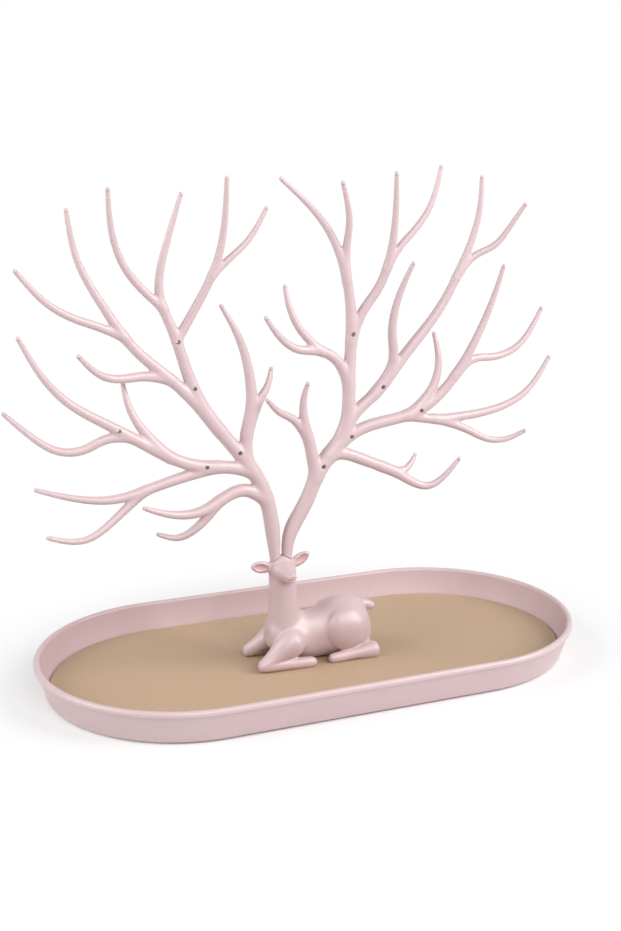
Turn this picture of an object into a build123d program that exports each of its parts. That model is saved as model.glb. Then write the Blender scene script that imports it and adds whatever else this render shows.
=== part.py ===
"""Jewellery tree: a lying deer on a lipped tray, with two branching antlers that plug into its head.

The origin is the middle of the tray on the surface it stands on. X runs along the tray towards the
deer's tail, the deer looks towards -Y, and Z is up. All lengths are millimetres.
"""

import os
from math import cos, pi, radians, sin

from build123d import *

os.makedirs("parts", exist_ok=True)

# Shared clearances
slip_gap = 0.12  # each side of a push fit
saddle_gap = 0.25  # between an antler's foot and the skull
cut_overrun = 1.0  # how far a cut runs past the face it leaves

# Tray
tray_length = 260.0
tray_width = 134.0
tray_depth = 15.7  # underside to the top of the lip
tray_flare = 4.2  # how far the wall leans out over its height
tray_wall = 1.8
tray_floor = 2.0
lip_diameter = 3.0
lip_overhang = 0.9  # how far the lip stands out past the wall
lip_skirt = 0.9  # straight edge below the lip's round top
base_chamfer = 0.8

# Anti-slip feet
foot_diameter = 10.0
foot_thickness = 1.6
foot_recess = 0.8  # how deep a foot sits in the tray
foot_inset_x = 48.0  # from the tray's end to the middle of a foot
foot_inset_y = 26.0
foot_pitch_x = tray_length - 2 * foot_inset_x
foot_pitch_y = tray_width - 2 * foot_inset_y

# Tray pad
pad_thickness = 1.2
pad_margin = 0.4  # gap to the tray's wall

# Screws that hold the deer
screw_diameter = 2.9
screw_head_diameter = 5.6
screw_head_height = 1.5
screw_length = 10.0
screw_front_x = -7.0
screw_rear_x = 16.0
boss_diameter = 8.0
boss_height = 9.0  # up into the deer's belly
pilot_spare = 1.0  # depth of the pilot hole past the screw's point

# Deer's body, heights are above the pad
body_front_x = -23.2
body_length = 53.0
body_height = 28.2
body_width = 25.0
body_sides = 14
# Rings from chest to rump: along the body, height of the middle, half height, half width
body_shares = [(0.00, 0.51, 0.14, 0.16), (0.04, 0.46, 0.30, 0.28), (0.14, 0.41, 0.39, 0.36),
               (0.27, 0.41, 0.40, 0.38), (0.40, 0.40, 0.41, 0.37), (0.51, 0.43, 0.43, 0.40),
               (0.61, 0.47, 0.48, 0.46), (0.72, 0.50, 0.50, 0.50), (0.83, 0.48, 0.48, 0.49),
               (0.92, 0.43, 0.41, 0.42), (0.97, 0.39, 0.29, 0.30), (1.00, 0.37, 0.16, 0.16)]

# Deer's neck and head
neck_foot_x = -13.0
neck_foot_z = 8.0
neck_girth = 15.0
neck_sides = 12
# Rings from chest to skull: up the neck, forward with its lean, half length, half width
neck_shares = [(0.00, 0.00, 0.60, 0.59), (0.21, 0.25, 0.63, 0.59), (0.37, 0.50, 0.57, 0.53),
               (0.56, 0.62, 0.51, 0.49), (0.74, 0.80, 0.48, 0.46), (0.90, 0.92, 0.44, 0.43),
               (1.00, 1.00, 0.41, 0.41)]
skull_x = -15.4
skull_z = 45.6
skull_radius = 6.2
dome_shares = [(0.00, 1.00), (0.38, 0.92), (0.71, 0.70), (0.92, 0.38), (0.99, 0.12)]  # rise, radius
head_back_y = 3.3
head_length = 17.5
head_drop = 1.2  # how much lower the nose is than the skull
head_width = 11.2
# Rings from skull to nose: forward, down with the drop, half width, half depth
head_shares = [(0.00, 0.00, 0.42, 0.42), (0.29, 0.00, 0.51, 0.51), (0.52, 0.50, 0.43, 0.43),
               (0.75, 0.90, 0.30, 0.31), (0.92, 1.00, 0.23, 0.22), (1.00, 1.00, 0.15, 0.14)]
ear_length = 9.8
ear_width = 5.8
ear_thickness = 2.6
ear_root = 4.6  # from the skull's middle to the near end of an ear
ear_z = 45.6
ear_sides = 8
ear_shares = [(0.00, 0.50), (0.20, 0.82), (0.50, 1.00), (0.80, 0.74), (0.95, 0.38), (1.00, 0.15)]
ear_dish_depth = 1.3
ear_dish_start_share = 0.24  # where the dish begins and ends along the ear
ear_dish_end_share = 0.92
ear_dish_width_share = 0.68
left_ear_lift = 10.0  # degrees above level
right_ear_lift = 27.0

# Deer's legs and tail, one side of the pair; each table runs along the limb with its radius there
leg_sides = 8
thigh_x = 14.4
thigh_z = 14.6
thigh_reach = 14.2  # from the middle of the deer to the outside of a thigh
thigh_radius = 10.8
thigh_shares = [(0.20, 1.00), (0.68, 1.00), (0.84, 0.87), (0.95, 0.60), (1.00, 0.24)]
shoulder_x = -13.2
shoulder_y = 7.6
shoulder_z = 11.6
shoulder_radius = 6.8
knee_x = -28.0
knee_y = 10.4
knee_z = 3.0
arm_shares = [(-0.36, 0.40), (-0.22, 0.78), (0.00, 1.00), (0.25, 0.93), (0.55, 0.70), (0.85, 0.53),
              (1.00, 0.46), (1.14, 0.26)]
foreleg_radius = 2.9
fore_hoof_x = -3.0
fore_hoof_y = 11.6
fore_hoof_z = 1.9
foreleg_shares = [(-0.10, 0.55), (0.00, 1.00), (0.50, 0.92), (0.92, 0.86), (1.00, 0.60)]
hock_radius = 4.2
hock_x = 25.6
hock_y = 11.0
hock_z = 3.8
hind_hoof_x = 5.0
hind_hoof_y = 11.4
hind_hoof_z = 1.9
hind_leg_shares = [(-0.03, 0.40), (0.05, 0.58), (0.50, 0.66), (0.85, 0.92), (1.00, 1.00), (1.10, 0.76),
                   (1.14, 0.40)]
tail_root_x = 22.5
tail_root_z = 24.0
tail_tip_x = 31.6
tail_tip_z = 20.0
tail_radius = 2.5
tail_shares = [(0.00, 1.00), (0.55, 0.95), (0.85, 0.80), (1.00, 0.40)]

# Antlers
antler_reach = 120.0  # shares of this run outwards from the antler's own root
antler_rise = 172.0  # shares of this run up from the top of the skull
antler_spread = 10.0  # shares of this run towards the back
antler_pitch = 5.6  # between the two roots
root_diameter = 4.6
root_sink = 5.0  # the trunk starts this far below the top of the skull
trunk_diameter = 7.0
tip_diameter = 1.9
tip_round = 0.9  # length of the rounded end
tip_blunt_share = 0.45
fork_share = 0.9  # a side limb's girth at its fork, of the limb that carries it
fork_lead_share = 1.1  # how many of its girths before the fork's share a limb parts, for a narrow crotch
taper_power = 1.8  # limbs keep their girth and thin out towards the tip
limb_sides = 6
tenon_width = 2.6
tenon_thickness = 3.4
tenon_length = 9.0
stud_hole_diameter = 2.0

# Each limb: the limb it grows from, where on it, how far back its tip leans, and the points it passes
# through, outwards and up
left_limb_shares = {
    "crown": (None, 0.0, 0.5, [(0.01, 0.06), (0.05, 0.19), (0.14, 0.29), (0.25, 0.39), (0.33, 0.51),
                               (0.38, 0.62), (0.42, 0.70), (0.39, 0.83), (0.33, 0.95)]),
    "crown_twig": ("crown", 0.75, -0.4, [(0.48, 0.72), (0.54, 0.77), (0.59, 0.85), (0.61, 0.97)]),
    "inner": ("crown", 0.67, -0.6, [(0.34, 0.62), (0.29, 0.68), (0.22, 0.78), (0.19, 0.90), (0.19, 0.99)]),
    "inner_twig": ("inner", 0.47, 0.2, [(0.17, 0.79), (0.10, 0.83), (0.02, 0.91)]),
    "outer": ("crown", 0.43, 0.4, [(0.29, 0.42), (0.40, 0.50), (0.51, 0.57), (0.63, 0.69), (0.71, 0.80),
                                   (0.74, 0.92)]),
    "outer_fork": ("outer", 0.54, -0.6, [(0.65, 0.64), (0.72, 0.66), (0.82, 0.70), (0.94, 0.79)]),
    "outer_twig": ("outer", 0.31, -0.7, [(0.50, 0.51), (0.56, 0.51), (0.64, 0.52), (0.74, 0.58)]),
    "side": ("crown", 0.29, -0.5, [(0.15, 0.25), (0.23, 0.26), (0.31, 0.27), (0.46, 0.32), (0.64, 0.40),
                                   (0.77, 0.46), (0.86, 0.53), (0.94, 0.63)]),
    "side_fork": ("side", 0.51, 0.4, [(0.65, 0.36), (0.72, 0.34), (0.81, 0.34), (0.90, 0.38),
                                      (0.99, 0.44)]),
    "side_twig": ("side", 0.36, 0.6, [(0.50, 0.37), (0.54, 0.42), (0.56, 0.49)]),
    "low": ("side", 0.18, 0.5, [(0.37, 0.24), (0.48, 0.22), (0.61, 0.20), (0.75, 0.21), (0.89, 0.24)]),
    "low_twig": ("low", 0.46, -0.4, [(0.60, 0.16), (0.64, 0.14), (0.73, 0.11), (0.87, 0.13)]),
    "brow": ("crown", 0.21, -0.5, [(0.13, 0.19), (0.22, 0.17), (0.29, 0.15), (0.40, 0.15), (0.52, 0.18)]),
    "brow_twig": ("brow", 0.48, 0.4, [(0.32, 0.10), (0.38, 0.08), (0.45, 0.09)]),
    "upright": ("crown", 0.32, 0.4, [(0.11, 0.33), (0.09, 0.40), (0.09, 0.48), (0.13, 0.59), (0.19, 0.67)]),
    "upright_twig": ("upright", 0.25, 0.4, [(0.05, 0.43), (0.02, 0.46), (0.00, 0.50)]),
}
right_limb_shares = {
    "crown": (None, 0.0, 0.5, [(0.01, 0.05), (0.08, 0.14), (0.15, 0.24), (0.23, 0.31), (0.26, 0.45),
                               (0.27, 0.57), (0.25, 0.73), (0.18, 0.85), (0.00, 0.98)]),
    "crown_twig": ("crown", 0.73, -0.4, [(0.25, 0.81), (0.25, 0.86), (0.21, 0.97)]),
    "fan": ("crown", 0.59, -0.5, [(0.32, 0.64), (0.37, 0.69), (0.42, 0.79), (0.43, 0.91), (0.42, 0.99)]),
    "fan_twig": ("fan", 0.50, 0.4, [(0.46, 0.80), (0.52, 0.84), (0.59, 0.90), (0.64, 1.00)]),
    "inner": ("crown", 0.49, -0.4, [(0.21, 0.51), (0.14, 0.54), (0.05, 0.55), (-0.02, 0.58),
                                    (-0.09, 0.64)]),
    "inner_twig": ("inner", 0.46, 0.4, [(0.06, 0.60), (0.02, 0.66), (0.01, 0.71)]),
    "upright": ("crown", 0.26, -0.2, [(0.09, 0.31), (0.07, 0.37), (0.07, 0.43), (0.08, 0.46)]),
    "upright_twig": ("upright", 0.50, -0.5, [(0.02, 0.37), (-0.03, 0.39), (-0.09, 0.43)]),
    "brow": ("crown", 0.26, -0.5, [(0.20, 0.26), (0.31, 0.24), (0.46, 0.19), (0.58, 0.15), (0.71, 0.22)]),
    "brow_twig": ("brow", 0.49, 0.3, [(0.50, 0.20), (0.55, 0.23)]),
    "middle": ("crown", 0.38, 0.5, [(0.29, 0.37), (0.36, 0.41), (0.49, 0.51), (0.63, 0.62), (0.74, 0.75),
                                    (0.81, 0.89), (0.82, 0.97)]),
    "middle_twig": ("middle", 0.21, -0.6, [(0.44, 0.50), (0.43, 0.57), (0.45, 0.68), (0.49, 0.76)]),
    "middle_fork": ("middle", 0.68, -0.4, [(0.80, 0.77), (0.86, 0.79), (0.92, 0.84), (0.97, 0.90)]),
    "outer": ("crown", 0.32, -0.5, [(0.30, 0.32), (0.43, 0.34), (0.55, 0.36), (0.65, 0.41), (0.77, 0.53),
                                    (0.86, 0.68), (0.88, 0.74)]),
    "outer_twig": ("outer", 0.38, 0.5, [(0.61, 0.42), (0.64, 0.49), (0.63, 0.56)]),
    "outer_fork": ("outer", 0.60, 0.4, [(0.78, 0.49), (0.85, 0.49), (0.98, 0.51), (1.10, 0.61)]),
    "low": ("outer", 0.37, 0.5, [(0.64, 0.33), (0.73, 0.33), (0.89, 0.34), (1.04, 0.38), (1.15, 0.47)]),
    "low_twig": ("low", 0.22, -0.5, [(0.77, 0.29), (0.86, 0.26), (0.94, 0.26), (1.00, 0.28)]),
}

# Where the holes for ear studs go through each antler, along the limb that carries them
left_stud_shares = [("crown", 0.325), ("crown", 0.525), ("crown", 0.645), ("side", 0.185), ("side", 0.53)]
right_stud_shares = [("crown", 0.255), ("crown", 0.585), ("outer", 0.10), ("outer", 0.385),
                     ("middle", 0.205)]

# Heights and outlines that several pieces share
foot_stand = foot_thickness - foot_recess
floor_top = foot_stand + tray_floor
pad_top = floor_top + pad_thickness
lip_radius = lip_diameter / 2
lip_z = foot_stand + tray_depth - lip_radius
skirt_z = lip_z - lip_skirt
end_radius = tray_width / 2
end_x = tray_length / 2 - end_radius
wall_top_radius = end_radius - lip_overhang
flare_slope = tray_flare / (skirt_z - foot_stand)
base_radius = wall_top_radius - tray_flare
floor_radius = wall_top_radius - tray_wall - flare_slope * (skirt_z - floor_top)
pad_radius = floor_radius - pad_margin
skull_centre = Vector(skull_x, 0, pad_top + skull_z)
seat_z = skull_centre.Z + skull_radius
screw_places = [(screw_front_x, 0), (screw_rear_x, 0)]
up = Vector(0, 0, 1)


def above_pad(x, y, z):
    """A point given by its height above the pad."""
    return Vector(x, y, pad_top + z)


def wall_section(plane):
    """Half of the tray's section, outwards from its middle: floor, drafted wall and rounded lip."""
    inner_lip = end_radius - lip_diameter
    wall_inner = wall_top_radius - tray_wall
    with BuildSketch(plane, mode=Mode.PRIVATE) as section:
        with BuildLine():
            Polyline((inner_lip, lip_z), (inner_lip, skirt_z), (wall_inner, skirt_z),
                     (floor_radius, floor_top), (0, floor_top), (0, foot_stand),
                     (base_radius - base_chamfer, foot_stand),
                     (base_radius + flare_slope * base_chamfer, foot_stand + base_chamfer),
                     (wall_top_radius, skirt_z), (end_radius, skirt_z), (end_radius, lip_z))
            ThreePointArc((end_radius, lip_z), (end_radius - lip_radius, lip_z + lip_radius),
                          (inner_lip, lip_z))
        make_face()
    return section.sketch


def ringed(planes, half_sizes, sides):
    """A form lofted straight from ring to ring, each ring an oval drawn with flat sides."""
    turns = [2 * pi * side / sides for side in range(sides)]
    with BuildPart() as form:
        for plane, (half_u, half_v) in zip(planes, half_sizes):
            with BuildSketch(plane):
                Polygon(*[(half_u * cos(turn), half_v * sin(turn)) for turn in turns])
        loft(ruled=True)
    return form.part


def round_limb(start, end, radius, radius_shares):
    """A round limb along a straight line, swelling and tapering as its table says."""
    along = end - start
    across = along.cross(up)
    planes = [Plane(origin=start + along * share, x_dir=across, z_dir=along) for share, _ in radius_shares]
    return ringed(planes, [(radius * share, radius * share) for _, share in radius_shares], leg_sides)


def ear(side, lift):
    """A leaf-shaped ear, dished on the side that faces forward."""
    heading = Vector(side * cos(radians(lift)), 0, sin(radians(lift)))
    root = above_pad(skull_x + side * ear_root, 0, ear_z)
    front = root - Vector(0, ear_thickness / 2, 0)
    dish_root = front + heading * ear_length * ear_dish_start_share
    dish_length = ear_length * (ear_dish_end_share - ear_dish_start_share)
    dish_width = ear_width * ear_dish_width_share
    leaf_planes = []
    leaf_sizes = []
    dish_planes = []
    dish_sizes = []
    for share, width_share in ear_shares:
        leaf_planes.append(Plane(origin=root + heading * ear_length * share, x_dir=(0, 1, 0), z_dir=heading))
        leaf_sizes.append((ear_thickness / 2, ear_width / 2 * width_share))
        dish_planes.append(Plane(origin=dish_root + heading * dish_length * share, x_dir=(0, 1, 0),
                                 z_dir=heading))
        dish_sizes.append((ear_dish_depth * width_share, dish_width / 2 * width_share))
    return ringed(leaf_planes, leaf_sizes, ear_sides) - ringed(dish_planes, dish_sizes, ear_sides)


def limb_radius(girth, share):
    """Radius of a limb at a share of its length, from its girths at the fork and the tip."""
    return (girth + (tip_diameter - girth) * share**taper_power) / 2


def antler(side, limb_shares, stud_shares):
    """One antler: lofted limbs from a necked root, a keyed tenon below it and holes for ear studs."""
    root = Vector(skull_x + side * antler_pitch / 2, 0, seat_z)
    girths = {}
    paths = {}
    with BuildPart() as tree:
        limbs = []
        for name, (carrier, attach_share, lean_share, points) in limb_shares.items():
            if carrier is None:
                start = root - up * root_sink
                girths[name] = trunk_diameter
            else:
                girths[name] = 2 * fork_share * limb_radius(girths[carrier], attach_share)
                lead = fork_lead_share * girths[name] / paths[carrier].edge().length
                start = paths[carrier] @ (attach_share - lead)
            count = len(points)
            route = [start]
            for step, (out_share, up_share) in enumerate(points, 1):
                out = side * out_share * antler_reach
                back = start.Y + (lean_share * antler_spread - start.Y) * (step / count) ** 2
                route.append(Vector(root.X + out, back, root.Z + up_share * antler_rise))
            with BuildLine(mode=Mode.PRIVATE) as path:
                Spline(*route)
            paths[name] = path.line
            stations = []
            for step in range(count + 1):
                share = step / count
                radius = limb_radius(girths[name], share)
                if carrier is None and step == 0:
                    radius = root_diameter / 2
                stations.append((path.line @ share, path.line % share, radius))
            end, heading, radius = stations[-1]
            stations.append((end + heading * tip_round, heading, radius * tip_blunt_share))
            sections = []
            for place, heading, radius in stations:
                across = Plane(origin=place, x_dir=(0, 1, 0), z_dir=heading)
                with BuildSketch(across, mode=Mode.PRIVATE) as section:
                    RegularPolygon(radius, limb_sides)
                sections.append(section.sketch)
            limbs.append(loft(sections, ruled=True, mode=Mode.PRIVATE))
        add(limbs[0])
        with Locations(skull_centre):
            Sphere(skull_radius + saddle_gap, mode=Mode.SUBTRACT)
        with BuildSketch(Plane.XY.offset(seat_z - tenon_length)):
            with Locations((root.X, 0)):
                Rectangle(tenon_width, tenon_thickness)
        extrude(amount=tenon_length + root_sink)
        add(limbs[1:])
        stud_planes = [Plane(origin=paths[name] @ share, z_dir=(0, -1, 0)) for name, share in stud_shares]
        with Locations(stud_planes):
            Hole(stud_hole_diameter / 2, depth=trunk_diameter)
    return tree


# Tray: straight sides extruded and round ends turned from one section, with recesses for the feet and
# countersunk screw holes
with BuildPart() as tray:
    middle = Plane(origin=(0, 0, 0), x_dir=(0, 1, 0), z_dir=(1, 0, 0))
    extrude(wall_section(middle), amount=end_x, both=True)
    mirror(about=Plane.XZ)
    for side in (-1, 1):
        end = Plane(origin=(side * end_x, 0, 0), x_dir=(0, -side, 0), z_dir=(-side, 0, 0))
        revolve(wall_section(end), axis=Axis((side * end_x, 0, 0), (0, 0, 1)), revolution_arc=180)
    with BuildSketch(Plane.XY.offset(foot_stand)):
        with GridLocations(foot_pitch_x, foot_pitch_y, 2, 2):
            Circle(foot_diameter / 2 + slip_gap)
    extrude(amount=foot_recess, mode=Mode.SUBTRACT)
    for x, y in screw_places:
        with Locations(Plane(origin=(x, y, foot_stand), z_dir=(0, 0, -1))):
            CounterSinkHole(screw_diameter / 2 + slip_gap, screw_head_diameter / 2 + slip_gap,
                            depth=tray_depth)
tray.part.label = "tray"
export_step(tray.part, "parts/tray.step")

# Anti-slip feet, pressed into the tray's underside
for row, y in (("front", -foot_pitch_y / 2), ("rear", foot_pitch_y / 2)):
    for column, x in (("left", -foot_pitch_x / 2), ("right", foot_pitch_x / 2)):
        with BuildPart() as foot:
            with BuildSketch(Plane.XY):
                with Locations((x, y)):
                    Circle(foot_diameter / 2)
            extrude(amount=foot_thickness)
        foot.part.label = f"foot_{row}_{column}"
        export_step(foot.part, f"parts/foot_{row}_{column}.step")

# Tray pad: a soft sheet that covers the floor and is held down by the deer
with BuildPart() as tray_pad:
    with BuildSketch(Plane.XY.offset(floor_top)):
        SlotOverall(2 * (end_x + pad_radius), 2 * pad_radius)
        with Locations(screw_places):
            Circle(screw_diameter / 2 + slip_gap, mode=Mode.SUBTRACT)
    extrude(amount=pad_thickness)
tray_pad.part.label = "tray_pad"
export_step(tray_pad.part, "parts/tray_pad.step")

# Deer: swelling forms fused to one moulding, flat underneath, with a socket for each antler
body_planes = [Plane(origin=above_pad(body_front_x + body_length * along, 0, body_height * middle),
                     x_dir=(0, 1, 0), z_dir=(1, 0, 0)) for along, middle, _, _ in body_shares]
body_sizes = [(body_width * half_width, body_height * half_height)
              for _, _, half_height, half_width in body_shares]
neck_rise = skull_z - neck_foot_z
neck_lean = skull_x - neck_foot_x
neck_planes = [Plane(origin=above_pad(neck_foot_x + neck_lean * lean, 0, neck_foot_z + neck_rise * rise),
                     x_dir=(1, 0, 0), z_dir=up) for rise, lean, _, _ in neck_shares]
neck_sizes = [(neck_girth * half_length, neck_girth * half_width)
              for _, _, half_length, half_width in neck_shares]
dome_planes = [Plane(origin=skull_centre + up * skull_radius * rise, x_dir=(1, 0, 0), z_dir=up)
               for rise, _ in dome_shares]
dome_sizes = [(skull_radius * share, skull_radius * share) for _, share in dome_shares]
head_places = [above_pad(skull_x, head_back_y - head_length * ahead, skull_z - head_drop * drop)
               for ahead, drop, _, _ in head_shares]
head_planes = [Plane(origin=place, x_dir=(1, 0, 0), z_dir=(0, -1, 0)) for place in head_places]
head_sizes = [(head_width * half_width, head_width * half_depth)
              for _, _, half_width, half_depth in head_shares]
deer_forms = [
    ringed(body_planes, body_sizes, body_sides),
    ringed(neck_planes, neck_sizes, neck_sides),
    ringed(dome_planes, dome_sizes, neck_sides),
    ringed(head_planes, head_sizes, neck_sides),
    ear(-1, left_ear_lift),
    ear(1, right_ear_lift),
    round_limb(above_pad(tail_root_x, 0, tail_root_z), above_pad(tail_tip_x, 0, tail_tip_z), tail_radius,
               tail_shares),
]
for side in (-1, 1):
    hip = above_pad(thigh_x, 0, thigh_z)
    thigh = above_pad(thigh_x, side * thigh_reach, thigh_z)
    shoulder = above_pad(shoulder_x, side * shoulder_y, shoulder_z)
    knee = above_pad(knee_x, side * knee_y, knee_z)
    fore_hoof = above_pad(fore_hoof_x, side * fore_hoof_y, fore_hoof_z)
    hind_hoof = above_pad(hind_hoof_x, side * hind_hoof_y, hind_hoof_z)
    hock = above_pad(hock_x, side * hock_y, hock_z)
    deer_forms.append(round_limb(hip, thigh, thigh_radius, thigh_shares))
    deer_forms.append(round_limb(shoulder, knee, shoulder_radius, arm_shares))
    deer_forms.append(round_limb(knee, fore_hoof, foreleg_radius, foreleg_shares))
    deer_forms.append(round_limb(hind_hoof, hock, hock_radius, hind_leg_shares))

with BuildPart() as deer:
    add(deer_forms)
    with BuildSketch(Plane.XY.offset(pad_top)):
        with Locations(screw_places):
            Circle(boss_diameter / 2)
    extrude(amount=boss_height)
    split(bisect_by=Plane.XY.offset(pad_top), keep=Keep.TOP)
    with BuildSketch(Plane.XY.offset(pad_top)):
        with Locations(screw_places):
            Circle(screw_diameter / 2 + slip_gap)
    extrude(amount=foot_stand + screw_length + pilot_spare - pad_top, mode=Mode.SUBTRACT)
    with BuildSketch(Plane.XY.offset(seat_z - tenon_length - slip_gap)):
        with GridLocations(antler_pitch, 0, 2, 1):
            with Locations((skull_x, 0)):
                Rectangle(tenon_width + 2 * slip_gap, tenon_thickness + 2 * slip_gap)
    extrude(amount=tenon_length + cut_overrun, mode=Mode.SUBTRACT)
deer.part.label = "deer"
export_step(deer.part, "parts/deer.step")

# Screws, driven from below through the tray and the pad into the deer
with BuildPart() as deer_screws:
    for x, y in screw_places:
        with BuildSketch(Plane.XZ.offset(-y)):
            with BuildLine():
                Polyline((x, foot_stand), (x + screw_head_diameter / 2, foot_stand),
                         (x + screw_diameter / 2, foot_stand + screw_head_height),
                         (x + screw_diameter / 2, foot_stand + screw_length),
                         (x, foot_stand + screw_length), close=True)
            make_face()
        revolve(axis=Axis((x, y, 0), (0, 0, 1)))
deer_screws.part.label = "deer_screws"
export_step(deer_screws.part, "parts/deer_screws.step")

# Antlers: two different mouldings that plug into the deer's head
left_antler = antler(-1, left_limb_shares, left_stud_shares)
left_antler.part.label = "left_antler"
export_step(left_antler.part, "parts/left_antler.step")

right_antler = antler(1, right_limb_shares, right_stud_shares)
right_antler.part.label = "right_antler"
export_step(right_antler.part, "parts/right_antler.step")
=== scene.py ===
"""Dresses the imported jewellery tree: a lying deer on a lipped tray with two branching antlers.

The file is laid out as an add-on. Each operator makes one piece, or a group of like pieces, as a
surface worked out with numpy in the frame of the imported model, in metres.
"""

from math import ceil, cos, pi, radians, sin

import bpy
import numpy as np
from bpy.props import FloatProperty, FloatVectorProperty, IntProperty, PointerProperty
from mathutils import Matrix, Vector


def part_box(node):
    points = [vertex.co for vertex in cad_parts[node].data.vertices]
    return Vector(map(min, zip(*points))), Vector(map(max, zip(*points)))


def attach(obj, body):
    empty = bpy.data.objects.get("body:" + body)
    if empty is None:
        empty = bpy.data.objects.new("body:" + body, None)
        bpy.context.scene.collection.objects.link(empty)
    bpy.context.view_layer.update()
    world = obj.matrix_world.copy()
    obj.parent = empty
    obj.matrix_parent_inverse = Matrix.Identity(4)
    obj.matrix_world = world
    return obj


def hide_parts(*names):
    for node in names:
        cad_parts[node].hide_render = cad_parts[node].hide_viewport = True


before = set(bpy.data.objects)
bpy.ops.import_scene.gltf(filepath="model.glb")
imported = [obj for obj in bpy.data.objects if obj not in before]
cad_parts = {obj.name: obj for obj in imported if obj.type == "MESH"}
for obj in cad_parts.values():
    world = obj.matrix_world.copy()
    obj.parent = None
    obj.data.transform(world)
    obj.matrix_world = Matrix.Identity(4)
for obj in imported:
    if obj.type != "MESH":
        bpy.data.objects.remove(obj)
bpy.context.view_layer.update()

bl_info = {
    "name": "Jewellery Tree",
    "version": (1, 0, 0),
    "blender": (4, 5, 0),
    "location": "View3D > Sidebar > Jewellery Tree",
    "description": "Dresses a jewellery tree with a deer, a tray and two antlers",
    "category": "Add Mesh",
}

MM = 0.001
tray_low, tray_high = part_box("tray")
pad_low, pad_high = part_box("tray_pad")
UNDERSIDE_Z = tray_low[2]
FLOOR_Z = pad_low[2]
PAD_Z = pad_high[2]
FOOT_CORNERS = ("front_left", "front_right", "rear_left", "rear_right")

# Shared fits: the gap round a loose piece, how far a cut runs past a face, a fine rounding, and the
# radius at which a turned profile starts
SLIP = 0.12 * MM
PAST = 1.0 * MM
FINE = 0.15 * MM
POLE = 0.01 * MM

# Rings of the deer's body from chest to rump: along, height of the middle, half height, half width
BODY_SHARES = [(0.00, 0.51, 0.14, 0.16), (0.04, 0.50, 0.26, 0.27), (0.14, 0.47, 0.33, 0.35),
               (0.27, 0.42, 0.39, 0.38), (0.40, 0.40, 0.41, 0.37), (0.51, 0.43, 0.43, 0.40),
               (0.61, 0.47, 0.48, 0.46), (0.72, 0.50, 0.50, 0.50), (0.83, 0.48, 0.48, 0.49),
               (0.92, 0.43, 0.41, 0.42), (0.97, 0.39, 0.29, 0.30), (1.00, 0.37, 0.16, 0.16)]

# Rings of the neck from chest to skull: up, forward with the lean, half length, half width
NECK_SHARES = [(0.00, 0.00, 0.60, 0.59), (0.21, 0.25, 0.61, 0.57), (0.37, 0.50, 0.53, 0.50),
               (0.56, 0.62, 0.46, 0.45), (0.74, 0.80, 0.43, 0.42), (0.90, 0.92, 0.41, 0.41),
               (1.00, 1.00, 0.40, 0.40)]

# Rings of the head from skull to nose: forward, down with the drop, half width, half depth
HEAD_SHARES = [(0.00, 0.00, 0.42, 0.42), (0.29, 0.00, 0.51, 0.51), (0.52, 0.50, 0.43, 0.43),
               (0.75, 0.90, 0.30, 0.31), (0.92, 1.00, 0.23, 0.22), (1.00, 1.00, 0.15, 0.14)]

# Tables of the ear, legs and tail: along the limb, and its width there
EAR_SHARES = [(0.00, 0.50), (0.20, 0.82), (0.50, 1.00), (0.80, 0.74), (0.95, 0.38), (1.00, 0.15)]
THIGH_SHARES = [(0.20, 1.00), (0.50, 0.99), (0.68, 0.94), (0.82, 0.80), (0.92, 0.60), (0.98, 0.34),
                (1.00, 0.12)]
ARM_SHARES = [(-0.36, 0.40), (-0.22, 0.78), (0.00, 1.00), (0.25, 0.91), (0.55, 0.65), (0.85, 0.49),
              (1.00, 0.44), (1.11, 0.32), (1.17, 0.10)]
FORELEG_SHARES = [(-0.10, 0.55), (0.00, 1.00), (0.50, 0.92), (0.90, 0.86), (0.98, 0.64), (1.02, 0.16)]
HIND_LEG_SHARES = [(-0.07, 0.08), (-0.04, 0.36), (0.03, 0.56), (0.12, 0.60), (0.50, 0.66), (0.85, 0.92),
                   (1.00, 1.00), (1.10, 0.76), (1.15, 0.24)]
TAIL_SHARES = [(0.00, 1.00), (0.55, 0.95), (0.85, 0.80), (0.96, 0.54), (1.00, 0.14)]

# Ends of the deer's neck, tail and legs in millimetres: along the tray, to one side, above the pad
DEER_PLACES = {
    "neck_foot": (-13.0, 0.0, 8.0),
    "tail_root": (22.5, 0.0, 24.0),
    "tail_tip": (31.6, 0.0, 20.0),
    "hip": (13.8, 0.0, 14.6),
    "thigh": (13.8, 14.4, 14.6),
    "shoulder": (-13.2, 7.6, 11.6),
    "knee": (-28.0, 10.4, 3.0),
    "fore_hoof": (-3.0, 11.6, 1.9),
    "hind_hoof": (5.0, 11.4, 1.9),
    "hock": (26.2, 11.0, 3.2),
}

# The legs' forms on each side: where each starts and ends, its radius in millimetres, and its table
LEG_FORMS = [("hip", "thigh", 11.0, THIGH_SHARES), ("shoulder", "knee", 6.8, ARM_SHARES),
             ("knee", "fore_hoof", 2.9, FORELEG_SHARES), ("hind_hoof", "hock", 4.0, HIND_LEG_SHARES)]

# Where the deer's forms flow together, on both sides: the place, as above, and how far round it
BLENDS = [((-5, 0, 23), 11), ((-20, 0, 16), 8), ((-5, 8, 16), 10), ((17, 9, 25), 10), ((25, 9, 15), 9),
          ((24, 0, 24), 4)]

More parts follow.
